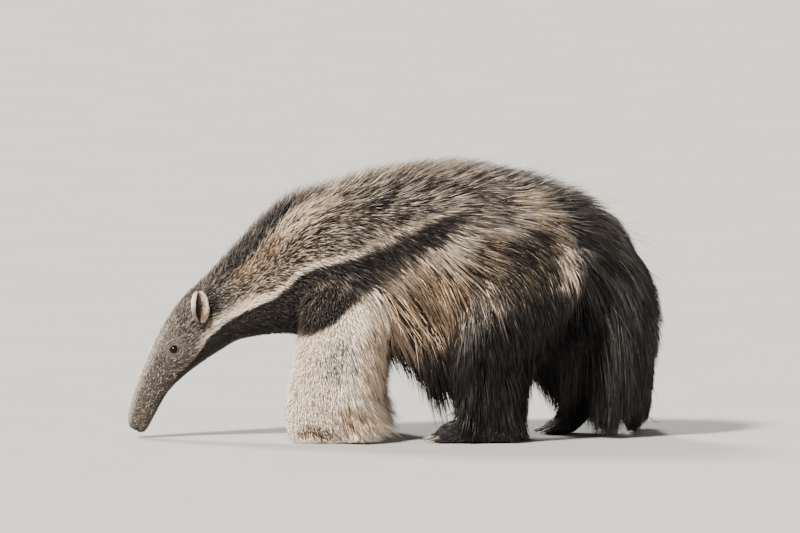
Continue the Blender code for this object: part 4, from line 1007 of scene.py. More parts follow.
class Wool:
    """Soft random waves in space, for edges that waver and hair that lies in streams."""

    def __init__(self, seed, size, count=14):
        chance = np.random.default_rng(seed)
        ways = unit(chance.normal(size=(count, 3))) * (2 * math.pi / size)
        self.ways = ways * chance.uniform(0.6, 1.6, (count, 1))
        self.starts = chance.uniform(0, 2 * math.pi, count)

    def at(self, points):
        waves = np.sin(points @ self.ways.T + self.starts)
        return waves.sum(1) / math.sqrt(len(self.starts) / 2)


EDGE_WAVES = Wool(3, 0.045)
EDGE_WAVES_UP = Wool(4, 0.045)
LIE_WAVES = Wool(5, 0.10)
TONE_WAVES = Wool(6, 0.030)
FINE_WAVES = Wool(8, 0.012)


def edge_waver(points, size):
    """How far the markings' edges waver at each point in the side view, in x and in z."""
    return np.stack((EDGE_WAVES.at(points), EDGE_WAVES_UP.at(points)), 1) * size


def sow(points, normals, corners, tufts, chance):
    """Roots spread over a skin, as many to each face as its tufts ask for, with their corners."""
    a, b, c = (points[corners[:, i]] for i in range(3))
    area = np.linalg.norm(np.cross(b - a, c - a), axis=1) / 2
    wanted = area * 1e4 * tufts[corners].mean(1)
    count = np.floor(wanted + chance.random(len(wanted))).astype(int)
    face = np.repeat(np.arange(len(corners)), count)
    u, v = chance.random((2, len(face)))
    turned = u + v > 1
    u, v = np.where(turned, 1 - u, u), np.where(turned, 1 - v, v)
    shares = np.stack((1 - u - v, u, v), 1)
    roots = (points[corners[face]] * shares[:, :, None]).sum(1)
    outs = unit((normals[corners[face]] * shares[:, :, None]).sum(1))
    return roots, outs, (corners[face], shares)


def nearest_skin(tree, points):
    """For each point the nearest place on the skin, its outward direction and the height over it."""
    places = np.empty_like(points)
    outs = np.empty_like(points)
    for i, point in enumerate(points):
        place, out, _, _ = tree.find_nearest(point)
        places[i] = place
        outs[i] = out
    return places, outs, ((points - places) * outs).sum(1)


def comb(tree, roots, outs, fields, chance, steps):
    """The paths of all tufts: they rise from the skin to the coat's depth, or hang off it."""
    count = len(roots)
    length = fields["length"] * chance.uniform(*LENGTH_RANGE, count)
    depth = fields["depth"] * chance.uniform(*DEPTH_RANGE, count)
    hang = fields["hang"][:, None]
    lift = fields["lift"][:, None]
    heading = fields["heading"] + chance.normal(0, HEADING_SPREAD, (count, 3))
    swirl = LIE_WAVES.at(roots)[:, None] * SWIRL
    heading = heading + np.cross(outs, heading) * swirl
    heading = unit(heading - outs * dot(heading, outs))
    rise = np.clip(depth / np.maximum(length, 1e-6), 0, 0.9)[:, None]
    heading = unit(heading + outs * (rise + lift))
    path = [roots - outs * CLEAR]
    point = roots
    for i in range(1, steps + 1):
        share = i / steps
        heading = unit(heading + DOWN * (hang * FALL_PULL / steps))
        aim = point + heading * (length / steps)[:, None]
        places, there, height = nearest_skin(tree, aim)
        wanted = CLEAR + depth * share**0.85 * (1 - 0.8 * hang[:, 0] * share)
        low = height < wanted
        aim[low] = places[low] + there[low] * wanted[low][:, None]
        cling = CLING * (1 - hang[:, 0]) * np.clip(1.1 - 2 * lift[:, 0], 0, 1)
        cling = cling * ~low * (height < CLING_HEIGHT)
        aim = aim + (places + there * wanted[:, None] - aim) * cling[:, None]
        aim[:, 2] = np.maximum(aim[:, 2], LOWEST)
        heading = unit(aim - point)
        point = aim
        path.append(point)
    return np.stack(path, 1)


def gather(paths, roots, chance, pull):
    """Draws the tufts' tips together into locks, each round a guide among them."""
    guides = np.flatnonzero(chance.random(len(roots)) < 1 / LOCK_TUFTS)
    tree = KDTree(len(guides))
    for i, guide in enumerate(guides):
        tree.insert(roots[guide], i)
    tree.balance()
    own = np.array([guides[tree.find(root)[1]] for root in roots])
    share = np.linspace(0, 1, paths.shape[1]) ** 1.4
    drawn = pull * chance.uniform(0.5, 1.0, len(roots))
    step = (paths[own] - paths) * (share * drawn[:, None])[:, :, None]
    far = np.linalg.norm(paths[own][:, -1] - paths[:, -1], axis=1) > LOCK_REACH
    step[far] = 0
    return paths + step, own


def keep_within(paths):
    """Shortens the tufts that would leave the model's box."""
    low, high = (np.array(corner - SHIFT) for corner in CAD_BOX)
    roots = paths[:, 0]
    over = (high + REACH - roots) / np.maximum(paths.max(1) - roots, 1e-6)
    under = (roots - low + REACH) / np.maximum(roots - paths.min(1), 1e-6)
    fit = np.clip(np.minimum(over, under).min(1), 0.1, 1)
    return roots[:, None] + (paths - roots[:, None]) * fit[:, None, None]


def streaks(own, chance, coat, together):
    """Which tufts are pale and which are dark, as masks. Tufts of one lock lean the same way."""
    count = len(own)
    drawn = together * chance.random(count)[own] + (1 - together) * chance.random(count)
    rank = np.argsort(np.argsort(drawn)) / max(count, 1)
    pale = ramp(rank, 1 - coat[2] - 0.06, 1 - coat[2] + 0.06)
    dark = ramp(rank, coat[3] + 0.06, coat[3] - 0.06)
    return pale, dark


def by_corner(values):
    """Values of the tufts' rings, given to each corner of the rings and to the tip."""
    return np.concatenate((np.repeat(values[:, :-1], 3, axis=1), values[:, -1:]), 1).ravel()


def weave(name, paths, outs, width, light, warm, tone, rough, patches, material):
    """Makes one piece of all its tufts, each of them three-sided, flat and pointed at the tip."""
    count, rings, _ = paths.shape
    steps = rings - 1
    ahead = unit(paths[:, 1:] - paths[:, :-1])
    across = unit(np.cross(ahead, outs[:, None, :]))
    ridge = unit(np.cross(across, ahead))
    share = np.arange(steps) / steps
    half = width[:, None] * (1 - share**TAPER) * np.where(share == 0, ROOT_WIDE, 1.0)
    corners = np.stack(
        (
            paths[:, :-1] - across * half[..., None],
            paths[:, :-1] + ridge * (half * RIDGE)[..., None],
            paths[:, :-1] + across * half[..., None],
        ),
        2,
    )
    points = np.concatenate((corners.reshape(count, steps * 3, 3), paths[:, -1:]), 1)
    each = steps * 3 + 1
    faces = [(0, 2, 1)]
    for i in range(steps - 1):
        for a, b in ((0, 1), (1, 2), (2, 0)):
            faces += [(3 * i + a, 3 * i + b, 3 * i + 3 + b), (3 * i + a, 3 * i + 3 + b, 3 * i + 3 + a)]
    last = 3 * (steps - 1)
    faces += [(last + a, last + b, each - 1) for a, b in ((0, 1), (1, 2), (2, 0))]
    faces = np.array(faces)
    corners = (faces[None] + (np.arange(count) * each)[:, None, None]).reshape(-1, 3)
    mesh = bpy.data.meshes.new(name)
    mesh.vertices.add(count * each)
    mesh.vertices.foreach_set("co", (points + np.array(SHIFT)).astype(np.float32).ravel())
    mesh.loops.add(len(corners) * 3)
    mesh.loops.foreach_set("vertex_index", corners.astype(np.int32).ravel())
    mesh.polygons.add(len(corners))
    mesh.polygons.foreach_set("loop_start", np.arange(0, len(corners) * 3, 3, dtype=np.int32))
    mesh.update(calc_edges=True)
    mesh.shade_smooth()
    tips = np.append(np.repeat(share, 3), 1.0)
    sides = np.append(np.tile((0.0, 0.5, 1.0), steps), 0.5)
    layers = {"coat_light": by_corner(light), "coat_warm": by_corner(warm)}
    layers.update(hair_tone=np.repeat(tone, each), hair_rough=np.repeat(rough, each))
    layers.update(hair_tip=np.tile(tips, count), hair_side=np.tile(sides, count))
    add_layers(mesh, layers)
    spots = patches[:, None, :] + np.stack((sides, tips), 1)[None] * PATCH
    layer = mesh.uv_layers.new(name="OFBake")
    layer.data.foreach_set("uv", spots.reshape(-1, 2)[corners.ravel()].astype(np.float32).ravel())
    mesh.materials.append(material)
    made = stand(name, mesh)
    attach(made, "root")


def unwrap(where, chosen, own_form):
    """Each root's place on an unwrap of the forms: a strip for each form, along and round it."""
    spots = np.zeros((len(chosen), 2))
    kinds = np.unique(own_form[chosen])
    for strip, kind in enumerate(kinds):
        name = FORMS[kind].name
        mine = own_form[chosen] == kind
        for axis, key in enumerate(("place", "turn")):
            values = where[name][key][chosen][mine]
            reach = max(values.max() - values.min(), 1e-6)
            spots[mine, axis] = (values - values.min()) / reach * (1 - 2 * PATCH) + PATCH
        spots[mine, 0] = (spots[mine, 0] + strip) / len(kinds)
    return spots * (1 - PATCH)


def put(tree, kind, settings=None, **inputs):
    """A node with its settings, and its inputs linked or set by their index, as i0, i1 and so on."""
    node = tree.nodes.new(kind)
    for key, value in (settings or {}).items():
        setattr(node, key, value)
    for key, value in inputs.items():
        socket = node.inputs[int(key[1:])]
        if isinstance(value, bpy.types.NodeSocket):
            tree.links.new(value, socket)
        else:
            socket.default_value = value
    return node


def maths(tree, operation, *values):
    inputs = {f"i{i}": value for i, value in enumerate(values)}
    return put(tree, "ShaderNodeMath", {"operation": operation}, **inputs).outputs[0]


def mix_colours(tree, share, one, other, blend="MIX"):
    node = put(tree, "ShaderNodeMix", {"data_type": "RGBA", "blend_type": blend}, i0=share, i6=one, i7=other)
    return node.outputs[2]


# The coat's colours from darkest to palest: how light the coat is there, and the colour.
COAT_COLOURS = (
    (0.00, (0.0035, 0.0031, 0.0031, 1)),
    (0.18, (0.0150, 0.0125, 0.0110, 1)),
    (0.40, (0.0880, 0.0720, 0.0590, 1)),
    (0.62, (0.2900, 0.2420, 0.1960, 1)),
    (0.82, (0.6300, 0.5500, 0.4550, 1)),
    (1.00, (0.9300, 0.8700, 0.7700, 1)),
)
WARM_TINT = (1.30, 0.98, 0.66, 1)
COOL_TINT = (0.92, 0.98, 1.10, 1)
# The hide's streaks to a metre, along the body and round it.
HIDE_STREAKS = (260, 1500, 1)
EYE_COLOURS = ((0.008, 0.004, 0.003, 1), (0.002, 0.0014, 0.001, 1))
HORN_COLOURS = ((0.035, 0.026, 0.020, 1), (0.22, 0.17, 0.12, 1))
HORN_GRAIN = (0.05, 0.04, 0.03, 1)


def coat_group():
    """The coat's colour from how light and how warm it is there."""
    group = bpy.data.node_groups.new("coat_colour", "ShaderNodeTree")
    for label in ("Light", "Warm"):
        socket = group.interface.new_socket(label, in_out="INPUT", socket_type="NodeSocketFloat")
        socket.default_value = 0.5
    group.interface.new_socket("Colour", in_out="OUTPUT", socket_type="NodeSocketColor")
    given, result = group.nodes.new("NodeGroupInput"), group.nodes.new("NodeGroupOutput")
    ramp_node = put(group, "ShaderNodeValToRGB", i0=given.outputs["Light"])
    stops = ramp_node.color_ramp.elements
    while len(stops) < len(COAT_COLOURS):
        stops.new(0.5)
    for stop, (place, colour) in zip(stops, COAT_COLOURS):
        stop.position = place
        stop.color = colour
    tint = mix_colours(group, given.outputs["Warm"], COOL_TINT, WARM_TINT)
    tinted = mix_colours(group, 1.0, ramp_node.outputs[0], tint, "MULTIPLY")
    group.links.new(tinted, result.inputs["Colour"])
    return group


COAT_GROUP = coat_group()


def attribute(tree, name):
    return put(tree, "ShaderNodeAttribute", {"attribute_name": name}).outputs["Fac"]


def coat_colour(tree, level):
    """The coat's colour at a level of light, as warm as the piece is there."""
    warm = attribute(tree, "coat_warm")
    return put(tree, "ShaderNodeGroup", {"node_tree": COAT_GROUP}, i0=level, i1=warm).outputs["Colour"]


def noise(tree, place, scale, detail, **settings):
    return put(tree, "ShaderNodeTexNoise", settings, i0=place, i2=scale, i3=detail).outputs[0]


def own_place(tree):
    return put(tree, "ShaderNodeTexCoord").outputs["Object"]


def new_material(name, roughness, specular=0.5):
    made = bpy.data.materials.new(name)
    made.use_nodes = True
    shader = made.node_tree.nodes["Principled BSDF"]
    shader.inputs["Roughness"].default_value = roughness
    shader.inputs["Specular IOR Level"].default_value = specular
    return made, made.node_tree, shader


def hair_material():
    """Hair: dark at its root, paler past the middle, and each tuft of its own tone. The dark root is the
    hair's own banding and also painted shade deep in the coat.
    """
    made, tree, shader = new_material("coat_hair", 0.45, 0.4)
    tip = attribute(tree, "hair_tip")
    tone = attribute(tree, "hair_tone")
    light = attribute(tree, "coat_light")
    own = maths(tree, "MULTIPLY", tone, 90.0)
    across = maths(tree, "MULTIPLY_ADD", attribute(tree, "hair_side"), 4.5, own)
    single = put(tree, "ShaderNodeCombineXYZ", i0=across, i1=maths(tree, "MULTIPLY", tip, 1.2)).outputs[0]
    hairs = noise(tree, single, 1.0, 1.0, noise_dimensions="2D")
    # Darker towards the root: the hair's own banding, and painted shade deep in the coat.
    root_band_and_shade = maths(tree, "MULTIPLY_ADD", tip, 0.26, -0.15)
    toned = maths(tree, "MULTIPLY_ADD", tone, 0.26, -0.13)
    toned = maths(tree, "ADD", toned, maths(tree, "MULTIPLY_ADD", hairs, 0.90, -0.45))
    room = maths(tree, "MINIMUM", maths(tree, "MULTIPLY_ADD", light, 1.4, 0.20), 0.9)
    room = maths(tree, "MINIMUM", room, maths(tree, "MULTIPLY_ADD", light, -1.45, 1.95))
    room = maths(tree, "MULTIPLY", room, attribute(tree, "hair_rough"))
    shifted = maths(tree, "MULTIPLY", maths(tree, "ADD", root_band_and_shade, toned), room)
    level = maths(tree, "ADD", light, shifted)
    tree.links.new(coat_colour(tree, level), shader.inputs["Base Color"])
    rough = maths(tree, "MULTIPLY_ADD", tone, 0.18, 0.36)
    tree.links.new(rough, shader.inputs["Roughness"])
    return made


def skin_material():
    """The hide between the tufts: the coat's colour, streaked along the lie of short hair."""
    made, tree, shader = new_material("hide", 0.7, 0.3)
    along, round_it = attribute(tree, "hide_along"), attribute(tree, "hide_round")
    lie = put(tree, "ShaderNodeCombineXYZ", i0=along, i1=round_it).outputs[0]
    stretched = put(tree, "ShaderNodeVectorMath", {"operation": "MULTIPLY"}, i0=lie, i1=HIDE_STREAKS)
    shifted = maths(tree, "MULTIPLY_ADD", noise(tree, stretched.outputs[0], 1.0, 3.0), 0.36, -0.20)
    level = maths(tree, "ADD", attribute(tree, "coat_light"), shifted)
    tree.links.new(coat_colour(tree, level), shader.inputs["Base Color"])
    return made


def eye_material():
    made, tree, shader = new_material("eye", 0.07, 0.14)
    colour = mix_colours(tree, noise(tree, own_place(tree), 900.0, 3.0), *EYE_COLOURS)
    tree.links.new(colour, shader.inputs["Base Color"])
    return made


def claw_material():
    made, tree, shader = new_material("claw", 0.35)
    place = own_place(tree)
    grain = noise(tree, place, 420.0, 5.0)
    worn = noise(tree, place, 60.0, 3.0)
    horn = mix_colours(tree, worn, *HORN_COLOURS)
    streaked = mix_colours(tree, maths(tree, "MULTIPLY", grain, 0.5), horn, HORN_GRAIN)
    tree.links.new(streaked, shader.inputs["Base Color"])
    rough = maths(tree, "MULTIPLY_ADD", grain, 0.3, 0.25)
    tree.links.new(rough, shader.inputs["Roughness"])
    return made


def dress_skin(skin, points, where, material):
    """Gives the skin the markings, and the places along and round it that its streaks follow."""
    coat = markings(points, where, edge_waver(points, SKIN_WAVER))
    clear = clear_of_limbs(where, points[:, 2])
    height = seen_height(points[:, 1], points[:, 2])
    light, warm = add_lines(points[:, 0], height, coat[0], coat[1], SKIN_PALE, clear)
    along = np.zeros(len(points))
    around = np.zeros(len(points))
    for form in FORMS:
        spot = where[form.name]
        weight = where["weight"][form.name]
        reach = np.append(0, np.cumsum(np.linalg.norm(np.diff(form.centre, axis=0), axis=1)))
        along += weight * form.at(reach, spot["place"])
        around += weight * np.radians(spot["angle"]) * form.at(form.wide, spot["place"])
    light = light * SKIN_DIMMED
    add_layers(skin.data, {"coat_light": light, "coat_warm": warm, "hide_along": along, "hide_round": around})
    skin.data.materials.append(material)


def coat_piece_of(where):
    """Which coat piece each root belongs to."""
    row = where["trunk"]["place"] / ROWS_BETWEEN
    angle, turn = where["trunk"]["angle"], where["trunk"]["turn"]
    names = np.array([form.name for form in FORMS])
    own = np.array([where["weight"][name] for name in names]).argmax(0)
    kind = names[own]
    found = np.where(turn < 0, "coat_flank_left", "coat_flank_right").astype("<U20")
    found[(angle < 48) & (row >= 11.5)] = "coat_back"
    found[angle > 98] = "coat_skirt"
    found[row < 11.5] = "coat_neck"
    found[row < 8.6] = "coat_head"
    for side in SIDES:
        found[kind == "foreleg_" + side] = "coat_foreleg_" + side
        found[(kind == "hindleg_" + side) | (kind == "hindfoot_" + side)] = "coat_hindleg_" + side
    found[kind == "tail"] = "coat_tail"
    return found, own


COAT_SLOTS = {
    "coat_head": "face_hide",
    "coat_neck": "neck_coat",
    "coat_back": "body_coat",
    "coat_flank_left": "body_coat",
    "coat_flank_right": "body_coat",
    "coat_skirt": "body_coat",
    "coat_foreleg_left": "foreleg_coat",
    "coat_foreleg_right": "foreleg_coat",
    "coat_hindleg_left": "hindleg_coat",
    "coat_hindleg_right": "hindleg_coat",
    "coat_tail": "tail_coat",
}
# How many steps a tuft has along its length, where it isn't two.
COAT_STEPS = {"coat_skirt": 4, "coat_hindleg_left": 3, "coat_hindleg_right": 3, "coat_tail": 4}
MOST_TRIANGLES = 197000
# How far the markings' edges waver on the skin and on the tufts, and how far a tuft strays.
SKIN_WAVER = 0.003
TUFT_WAVER = 0.004
TUFT_STRAY = 0.003
TUFT_JITTER = 0.0012
# How pale the hair counts on the skin, and how much dimmer the skin is than the tufts.
SKIN_PALE = 0.3
SKIN_DIMMED = 0.9
# How light the palest tuft is, how far pale tufts go towards it on black and more on light hair,
# how much a dark tuft darkens, and how light the crest's tips are painted: painted rim light along the top.
PALE_LIGHT = 0.95
PALE_GAIN = (0.16, 0.39)
DARKENED = 0.72
CREST_PAINTED_RIM_LIGHT = (0.85, 0.55)
# Single hairs that stand off: how many of all, and their lift, depth, length and half width.
STRAY_SHARE = 0.012
STRAY_LIFT = 0.75
STRAY_DEPTH = 0.03
STRAY_LONGER = 1.3
STRAY_WIDTH = 0.0006


def loosen(fields, chance, fit):
    """Lets a few long thin hairs stand off the coat."""
    stray = (chance.random(len(fit)) < STRAY_SHARE) & fit
    fields["lift"][stray] = STRAY_LIFT
    fields["depth"][stray] += STRAY_DEPTH
    fields["length"][stray] *= STRAY_LONGER
    fields["width"][stray] = STRAY_WIDTH


def by_length(length, whole, least, most):
    return np.clip(length / whole, least, most)


def part_of(where, chosen):
    """What locate_all found, for the chosen points alone."""
    return {name: {key: values[chosen] for key, values in found.items()} for name, found in where.items()}


def grow_coat(points, normals, corners, where, material):
    """Sows, combs and gathers the whole coat, then weaves it into its pieces."""
    chance = np.random.default_rng(HAIR_SEED)
    roots, outs, _ = sow(points, normals, corners, hair_fields(points, where)["tufts"], chance)
    clear = roots[:, 2] > LOWEST
    for side in SIDES.values():
        clear &= eye_reach(roots, side)[0] > EYE_BARE
    clear &= np.linalg.norm(roots - np.array(NOSE_BARE[0]), axis=1) > NOSE_BARE[1]
    roots, outs = roots[clear], outs[clear]
    where = locate_all(roots)
    fields = hair_fields(roots, where)
    kinds, own_form = coat_piece_of(where)
    rows = where["trunk"]["place"] / ROWS_BETWEEN
    loosen(fields, chance, (rows > 9) & (where["trunk"]["angle"] < 80))
    tree = BVHTree.FromPolygons(points.tolist(), corners.tolist())
    waver = edge_waver(roots, TUFT_WAVER)
    waver += chance.normal(0, TUFT_STRAY, waver.shape)
    limbs = clear_of_limbs(where, roots[:, 2])
    for name, slot in COAT_SLOTS.items():
        chosen = np.flatnonzero(kinds == name)
        steps = COAT_STEPS.get(name, 2)
        each = 6 * (steps - 1) + 4
        most = MOST_TRIANGLES // each
        print(name, len(chosen), "tufts,", len(chosen) * each, "triangles")
        if len(chosen) > most:
            chosen = np.sort(chance.choice(chosen, most, replace=False))
        picked = {key: values[chosen] for key, values in fields.items()}
        paths = comb(tree, roots[chosen], outs[chosen], picked, chance, steps)
        pull = by_length(picked["length"], *LOCK_PULL)
        paths, own = gather(paths, roots[chosen], chance, pull)
        paths = keep_within(paths)
        seen = paths[:, 1] * 0.5 + paths[:, -2] * 0.5
        own_coat = markings(seen, part_of(where, chosen), waver[chosen])
        together = by_length(picked["length"], *LOCK_TONE)
        pale, dark = streaks(own, chance, own_coat, together)
        gain = PALE_GAIN[0] + PALE_GAIN[1] * ramp(own_coat[0], 0.04, 0.34)
        light = own_coat[0] + (PALE_LIGHT - own_coat[0]) * gain * pale
        light = light * (1 - DARKENED * dark)
        shape = (len(chosen), paths.shape[1])
        light, warm, pale, free = (
            np.broadcast_to(values[:, None], shape) for values in (light, own_coat[1], pale, limbs[chosen])
        )
        jitter = chance.normal(0, TUFT_JITTER, (len(chosen), 1))
        height = seen_height(paths[..., 1], paths[..., 2]) + jitter
        light, warm = add_lines(paths[..., 0], height, light, warm, pale, free)
        # Painted rim light: the tips along the top of the neck and back are painted paler, as the sun from
        # behind lights them.
        painted_rim = ramp(where["trunk"]["angle"][chosen], 34, 8) * ramp(rows[chosen], 7.5, 9.5)
        painted_rim = painted_rim * (name != "coat_tail")
        tips = np.linspace(0, 1, paths.shape[1]) ** 2
        light = light + (CREST_PAINTED_RIM_LIGHT[0] - light) * CREST_PAINTED_RIM_LIGHT[1] * painted_rim[:, None] * tips
        width = picked["width"] * chance.uniform(*WIDTH_RANGE, len(chosen))
        tone = 0.75 * chance.random(len(chosen)) + 0.25 * (0.5 + 0.35 * TONE_WAVES.at(roots[chosen]))
        patches = unwrap(where, chosen, own_form)
        rough = by_length(picked["length"], *HAIR_ROUGH)
        weave(name, paths, outs[chosen], width, light, warm, tone, rough, patches, material)


# The ears' hair: tufts to the square centimetre outside, how many fewer inside, their lie, how
# their tone varies and how rough they look.
EAR_TUFTS = 95.0
EAR_BARE = 0.75
EAR_TONES = (-0.14, 0.08)
EAR_ROUGH = 0.25
EAR_HAIR = {"length": 0.0062, "depth": 0.0012, "hang": 0.0, "lift": 0.16, "width": 0.00042}


def shape_ear(side):
    """A leaf rolled into a cup: its front edge curls over and its rear wall stands open."""
    way = SIDES[side]
    bm = bmesh.new()
    wide = bm.verts.layers.float.new("ear_across")
    tall = bm.verts.layers.float.new("ear_up")
    bmesh.ops.create_grid(bm, x_segments=34, y_segments=26, size=1)
    for corner in bm.verts:
        across, rise = corner.co.x, (corner.co.y + 1) / 2
        corner[wide], corner[tall] = across, rise
        front, rear = (along_line(edge, rise) for edge in (EAR_FRONT, EAR_REAR))
        angle = math.radians(front + (rear - front) * (across + 1) / 2)
        half = along_line(EAR_LEAF, rise)
        corner.co = (
            EAR_HALF[0] * half * math.sin(angle),
            -EAR_HALF[1] * half * math.cos(angle),
            EAR_HALF[2] * (2 * rise - 1),
        )
    outwards, backwards, forwards = (math.radians(turn) for turn in EAR_TURNS)
    turn = Matrix.Rotation(outwards * way, 4, "X") @ Matrix.Rotation(backwards, 4, "Y")
    swing = Matrix.Rotation(forwards * way, 4, "Z")
    x, y, z = EAR_PLACE
    place = Matrix.Translation((x, y * way, z)) @ turn @ swing @ Matrix.Diagonal((1, way, 1, 1))
    bmesh.ops.transform(bm, matrix=place, verts=bm.verts)
    return bm, place


def ear_colours(points, normals, across, rise, place):
    """How light and how warm the ear is, inside and outside, with a painted shadow inside along the curled
    front edge.
    """
    turn = np.array(place.to_3x3())
    local = (points - np.array(place.translation)) @ turn
    facing = normals @ turn
    inside = ramp(-(unit(local[:, :2]) * facing[:, :2]).sum(1), 0.0, 0.3)
    # Inside, painted shadow: near black beside the curled front edge, where that edge shades the wall, and
    # paler towards the rear rim.
    wall = 0.04 + 0.68 * ramp(across, -0.30, 0.42)
    root = ramp(rise, 0.36, 0.16) * ramp(across, -0.2, 0.3)
    wall = wall + (0.44 - wall) * root
    warm_wall = 0.62 + 0.38 * root
    edge = 0.82 + (0.46 - 0.82) * ramp(rise, 0.62, 0.16)
    outer = edge + (0.40 - edge) * ramp(across, -0.45, -0.10) * ramp(across, 0.98, 0.86)
    return outer + (wall - outer) * inside, 0.38 + (warm_wall - 0.38) * inside, inside


def make_ear(side, hide, hair):
    """The ear's shell, and the short hair on it."""
    bm, place = shape_ear(side)
    ear = piece("ear_shell_" + side, bm, hide)
    wall = ear.modifiers.new("wall", "SOLIDIFY")
    wall.thickness = EAR_THICK
    wall.offset = 0
    rounder = ear.modifiers.new("rounder", "SUBSURF")
    rounder.levels = rounder.render_levels = 1
    apply_modifiers(ear)
    ear.data.shade_smooth()
    points, normals, corners = read_mesh(ear.data)
    across, rise = (read_layer(ear.data, key) for key in ("ear_across", "ear_up"))
    light, warm, inside = ear_colours(points, normals, across, rise, place)
    add_layers(ear.data, {"coat_light": light, "coat_warm": warm})
    chance = np.random.default_rng(HAIR_SEED + 1)
    tufts = EAR_TUFTS * (1 - EAR_BARE * inside)
    roots, outs, (near, shares) = sow(points, normals, corners, tufts, chance)
    light, warm = (((values[near] * shares).sum(1)) for values in (light, warm))
    count = len(roots)
    up = np.array(place.to_3x3() @ Vector((0, 0, 1)))
    fields = {key: np.full(count, value) for key, value in EAR_HAIR.items()}
    spread = roots - np.array(place.translation)
    fields["heading"] = unit(up * 0.8 + unit(spread - dot(spread, up) * up) * 0.7)
    tree = BVHTree.FromPolygons(points.tolist(), corners.tolist())
    paths = comb(tree, roots, outs, fields, chance, 2)
    shape = (count, paths.shape[1])
    light = light + chance.uniform(*EAR_TONES, count)
    light, warm = (np.broadcast_to(values[:, None], shape) for values in (light, warm))
    round_it = np.arctan2(spread[:, 0], spread[:, 1] * SIDES[side]) / (2 * math.pi) + 0.5
    rise = (spread @ up / EAR_HALF[2] + 1) / 2
    spots = np.clip(np.stack((round_it, rise), 1), 0, 1) * (1 - PATCH)
    tone, rough = chance.random(count), np.full(count, EAR_ROUGH)
    name = "ear_hair_" + side
    weave(name, paths, outs, fields["width"], light, warm, tone, rough, spots, hair)
    add_layers(ear.data, {"hide_along": points[:, 2], "hide_round": points[:, 0]})
    settle(ear, "ear_skin", "ear_" + side)


def add_claw(bm, root, way, bend, length, wide, steps=9, sides=12):
    """A claw that bends as it tapers: it starts at its root and curls towards bend."""
    across = way.cross(bend).normalized()
    point = root.copy()
    heading = way.normalized()
    rings = []
    for i in range(steps + 1):
        size = wide * (1 - CLAW_TAPER * (i / steps) ** CLAW_SWEEP)
        up = across.cross(heading).normalized()
        ring = bmesh.ops.create_circle(bm, segments=sides, radius=1.0)["verts"]
        for corner in ring:
            deep = CLAW_RIDGE if corner.co.y > 0 else CLAW_SOLE
            corner.co = point + across * (corner.co.x * size) + up * (corner.co.y * size * deep)
        rings.append(ring_edges(ring))
        heading = (heading + bend * (CLAW_CURL / steps)).normalized()
        point = point + heading * (length / steps)
    bridge_rings(bm, rings)


def make_claws(material):
    for side, way in SIDES.items():
        bm = bmesh.new()
        for i, (length, wide) in enumerate(FRONT_CLAWS):
            x = FRONT_CLAW_START[0] + FRONT_CLAW_STEP * i + FORELEG_SHIFT[side]
            root = Vector((x, way * FRONT_CLAW_START[1], FRONT_CLAW_START[2]))
            heading = Vector((FRONT_CLAW_WAY[0], -FRONT_CLAW_WAY[1] * way, FRONT_CLAW_WAY[2])).normalized()
            add_claw(bm, root, heading, FRONT_CLAW_BEND, length, wide)
        nodes = (f"foreclaw_{side}_{i + 1}" for i in range(len(FRONT_CLAWS)))
        settle(piece("front_claws_" + side, bm, material), "claw_horn", *nodes)
        bm = bmesh.new()
        for root, heading in toe_places(HINDFOOT[side], way):
            start = root + heading * (TOE_LENGTH * HIND_CLAW_START[0]) + Vector((0, 0, HIND_CLAW_START[1]))
            add_claw(bm, start, heading, HIND_CLAW_BEND, *HIND_CLAW)
        nodes = (f"hindclaw_{side}_{i + 1}" for i in range(TOE_COUNT))
        settle(piece("hind_claws_" + side, bm, material), "claw_horn", *nodes)


def make_eye(side, material):
    bm = bmesh.new()
    place = Matrix.Translation((EYE_PLACE[0], EYE_PLACE[1] * SIDES[side], EYE_PLACE[2]))
    bmesh.ops.create_uvsphere(bm, u_segments=40, v_segments=28, radius=EYE_RADIUS, matrix=place)
    settle(piece("eyeball_" + side, bm, material), "eye_surface", "eye_" + side)


def settle(obj, slot, *nodes):
    """Moves a piece onto the origin's frame, hangs it under the root and hides the imported parts it
    replaces; the slot is not used.
    """
    obj.data.transform(Matrix.Translation(SHIFT))
    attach(obj, "root")
    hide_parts(*nodes)


FLESH = (
    "head", "neck", "torso", "foreleg_left", "foreleg_right", "forefoot_left", "forefoot_right",
    "hindleg_left", "hindleg_right", "hindfoot_left", "hindfoot_right",
    "tail_base", "tail_middle", "tail_end",
)


# The camera: its lens and sensor in millimetres, how far off it stands, how high it is seen from,
# in degrees, and what it looks at.
LENS = 483
SENSOR = 36
CAMERA_AWAY = 22
CAMERA_RISE = 3.8
CAMERA_AIM = (0.0205, 0, 0.3495)
# A broad warm key from the upper left and a rim from behind: the way to each, power, spread in
# degrees and colour.
SUNS = {
    "key": ((-0.60, -0.70, 0.90), 13.5, 8, (1.0, 0.95, 0.86)),
    "rim": ((-0.50, 0.70, 0.80), 6.0, 16, (1.0, 0.97, 0.90)),
}
# The soft fill: place, what it faces, width and height, power and colour.
FILL = ((2.2, -2.8, 1.0), (0, 0, 0.3), (2.5, 2.0), 26, (0.92, 0.96, 1.0))
SKY = ((0.93, 0.95, 1.0, 1), 0.40)
FLOOR_HALF = 90
FLOOR_COLOURS = ((0.29, 0.285, 0.275, 1), (0.32, 0.31, 0.30, 1))


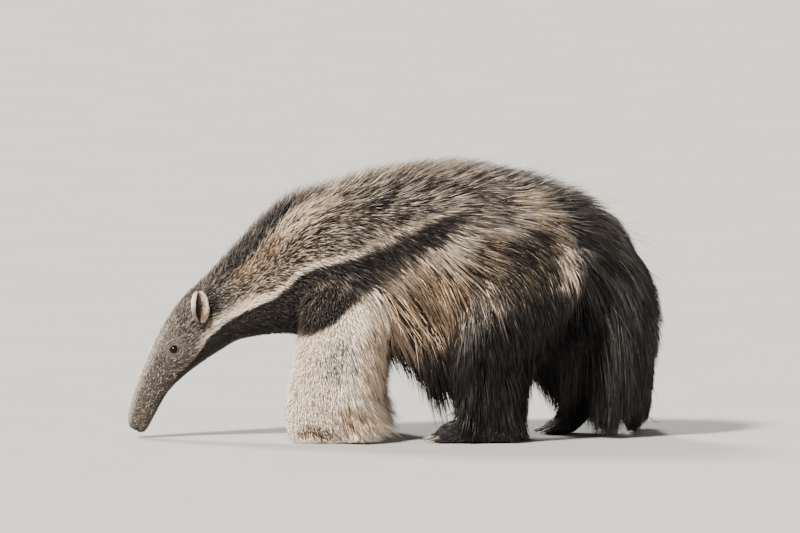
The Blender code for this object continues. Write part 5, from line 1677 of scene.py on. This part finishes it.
def make_camera():
    """The camera low beside the left flank and far off, with a long lens."""
    lens = bpy.data.cameras.new("camera")
    lens.lens = LENS
    lens.sensor_width = SENSOR
    lens.clip_start, lens.clip_end = 1, 100
    camera = stand("camera", lens)
    aim = Vector(CAMERA_AIM) + Vector((SHIFT.x, 0, 0))
    rise = math.radians(CAMERA_RISE)
    back = Vector((0, -math.cos(rise), math.sin(rise)))
    camera.location = aim + back * CAMERA_AWAY
    camera.rotation_euler = back.to_track_quat("Z", "Y").to_euler()
    bpy.context.scene.camera = camera


def make_lamp(name, kind, place, way, power, colour):
    """A lamp at a place, turned so that its light comes from that way."""
    lamp = bpy.data.lights.new(name, kind)
    lamp.energy = power
    lamp.color = colour
    obj = stand(name, lamp)
    obj.location = place
    obj.rotation_euler = way.to_track_quat("Z", "Y").to_euler()
    return lamp


def make_studio():
    """A wide pale floor, two suns, a soft fill and a pale sky."""
    bm = bmesh.new()
    bmesh.ops.create_grid(bm, x_segments=2, y_segments=2, size=FLOOR_HALF)
    made, tree, shader = new_material("floor", 0.9, 0.2)
    pale = mix_colours(tree, noise(tree, own_place(tree), 3.0, 2.0), *FLOOR_COLOURS)
    tree.links.new(pale, shader.inputs["Base Color"])
    piece("floor", bm, made)
    for name, (way, power, spread, colour) in SUNS.items():
        lamp = make_lamp(name, "SUN", Vector(way) * 4, Vector(way), power, colour)
        lamp.angle = math.radians(spread)
    place, aim, size, power, colour = FILL
    lamp = make_lamp("fill", "AREA", place, Vector(place) - Vector(aim), power, colour)
    lamp.shape = "RECTANGLE"
    lamp.size, lamp.size_y = size
    world = bpy.data.worlds.new("studio")
    bpy.context.scene.world = world
    world.use_nodes = True
    for socket, value in zip(world.node_tree.nodes["Background"].inputs, SKY):
        socket.default_value = value


def main():
    make_camera()
    make_studio()
    skin = make_skin()
    finish_skin(skin)
    points, normals, corners = read_mesh(skin.data)
    print("skin", len(corners), "triangles")
    where = locate_all(points)
    hide, hair = skin_material(), hair_material()
    dress_skin(skin, points, where, hide)
    grow_coat(points, normals, corners, where, hair)
    settle(skin, "body_coat", *FLESH)
    eye = eye_material()
    for side in SIDES:
        make_eye(side, eye)
        make_ear(side, hide, hair)
    make_claws(claw_material())


main()
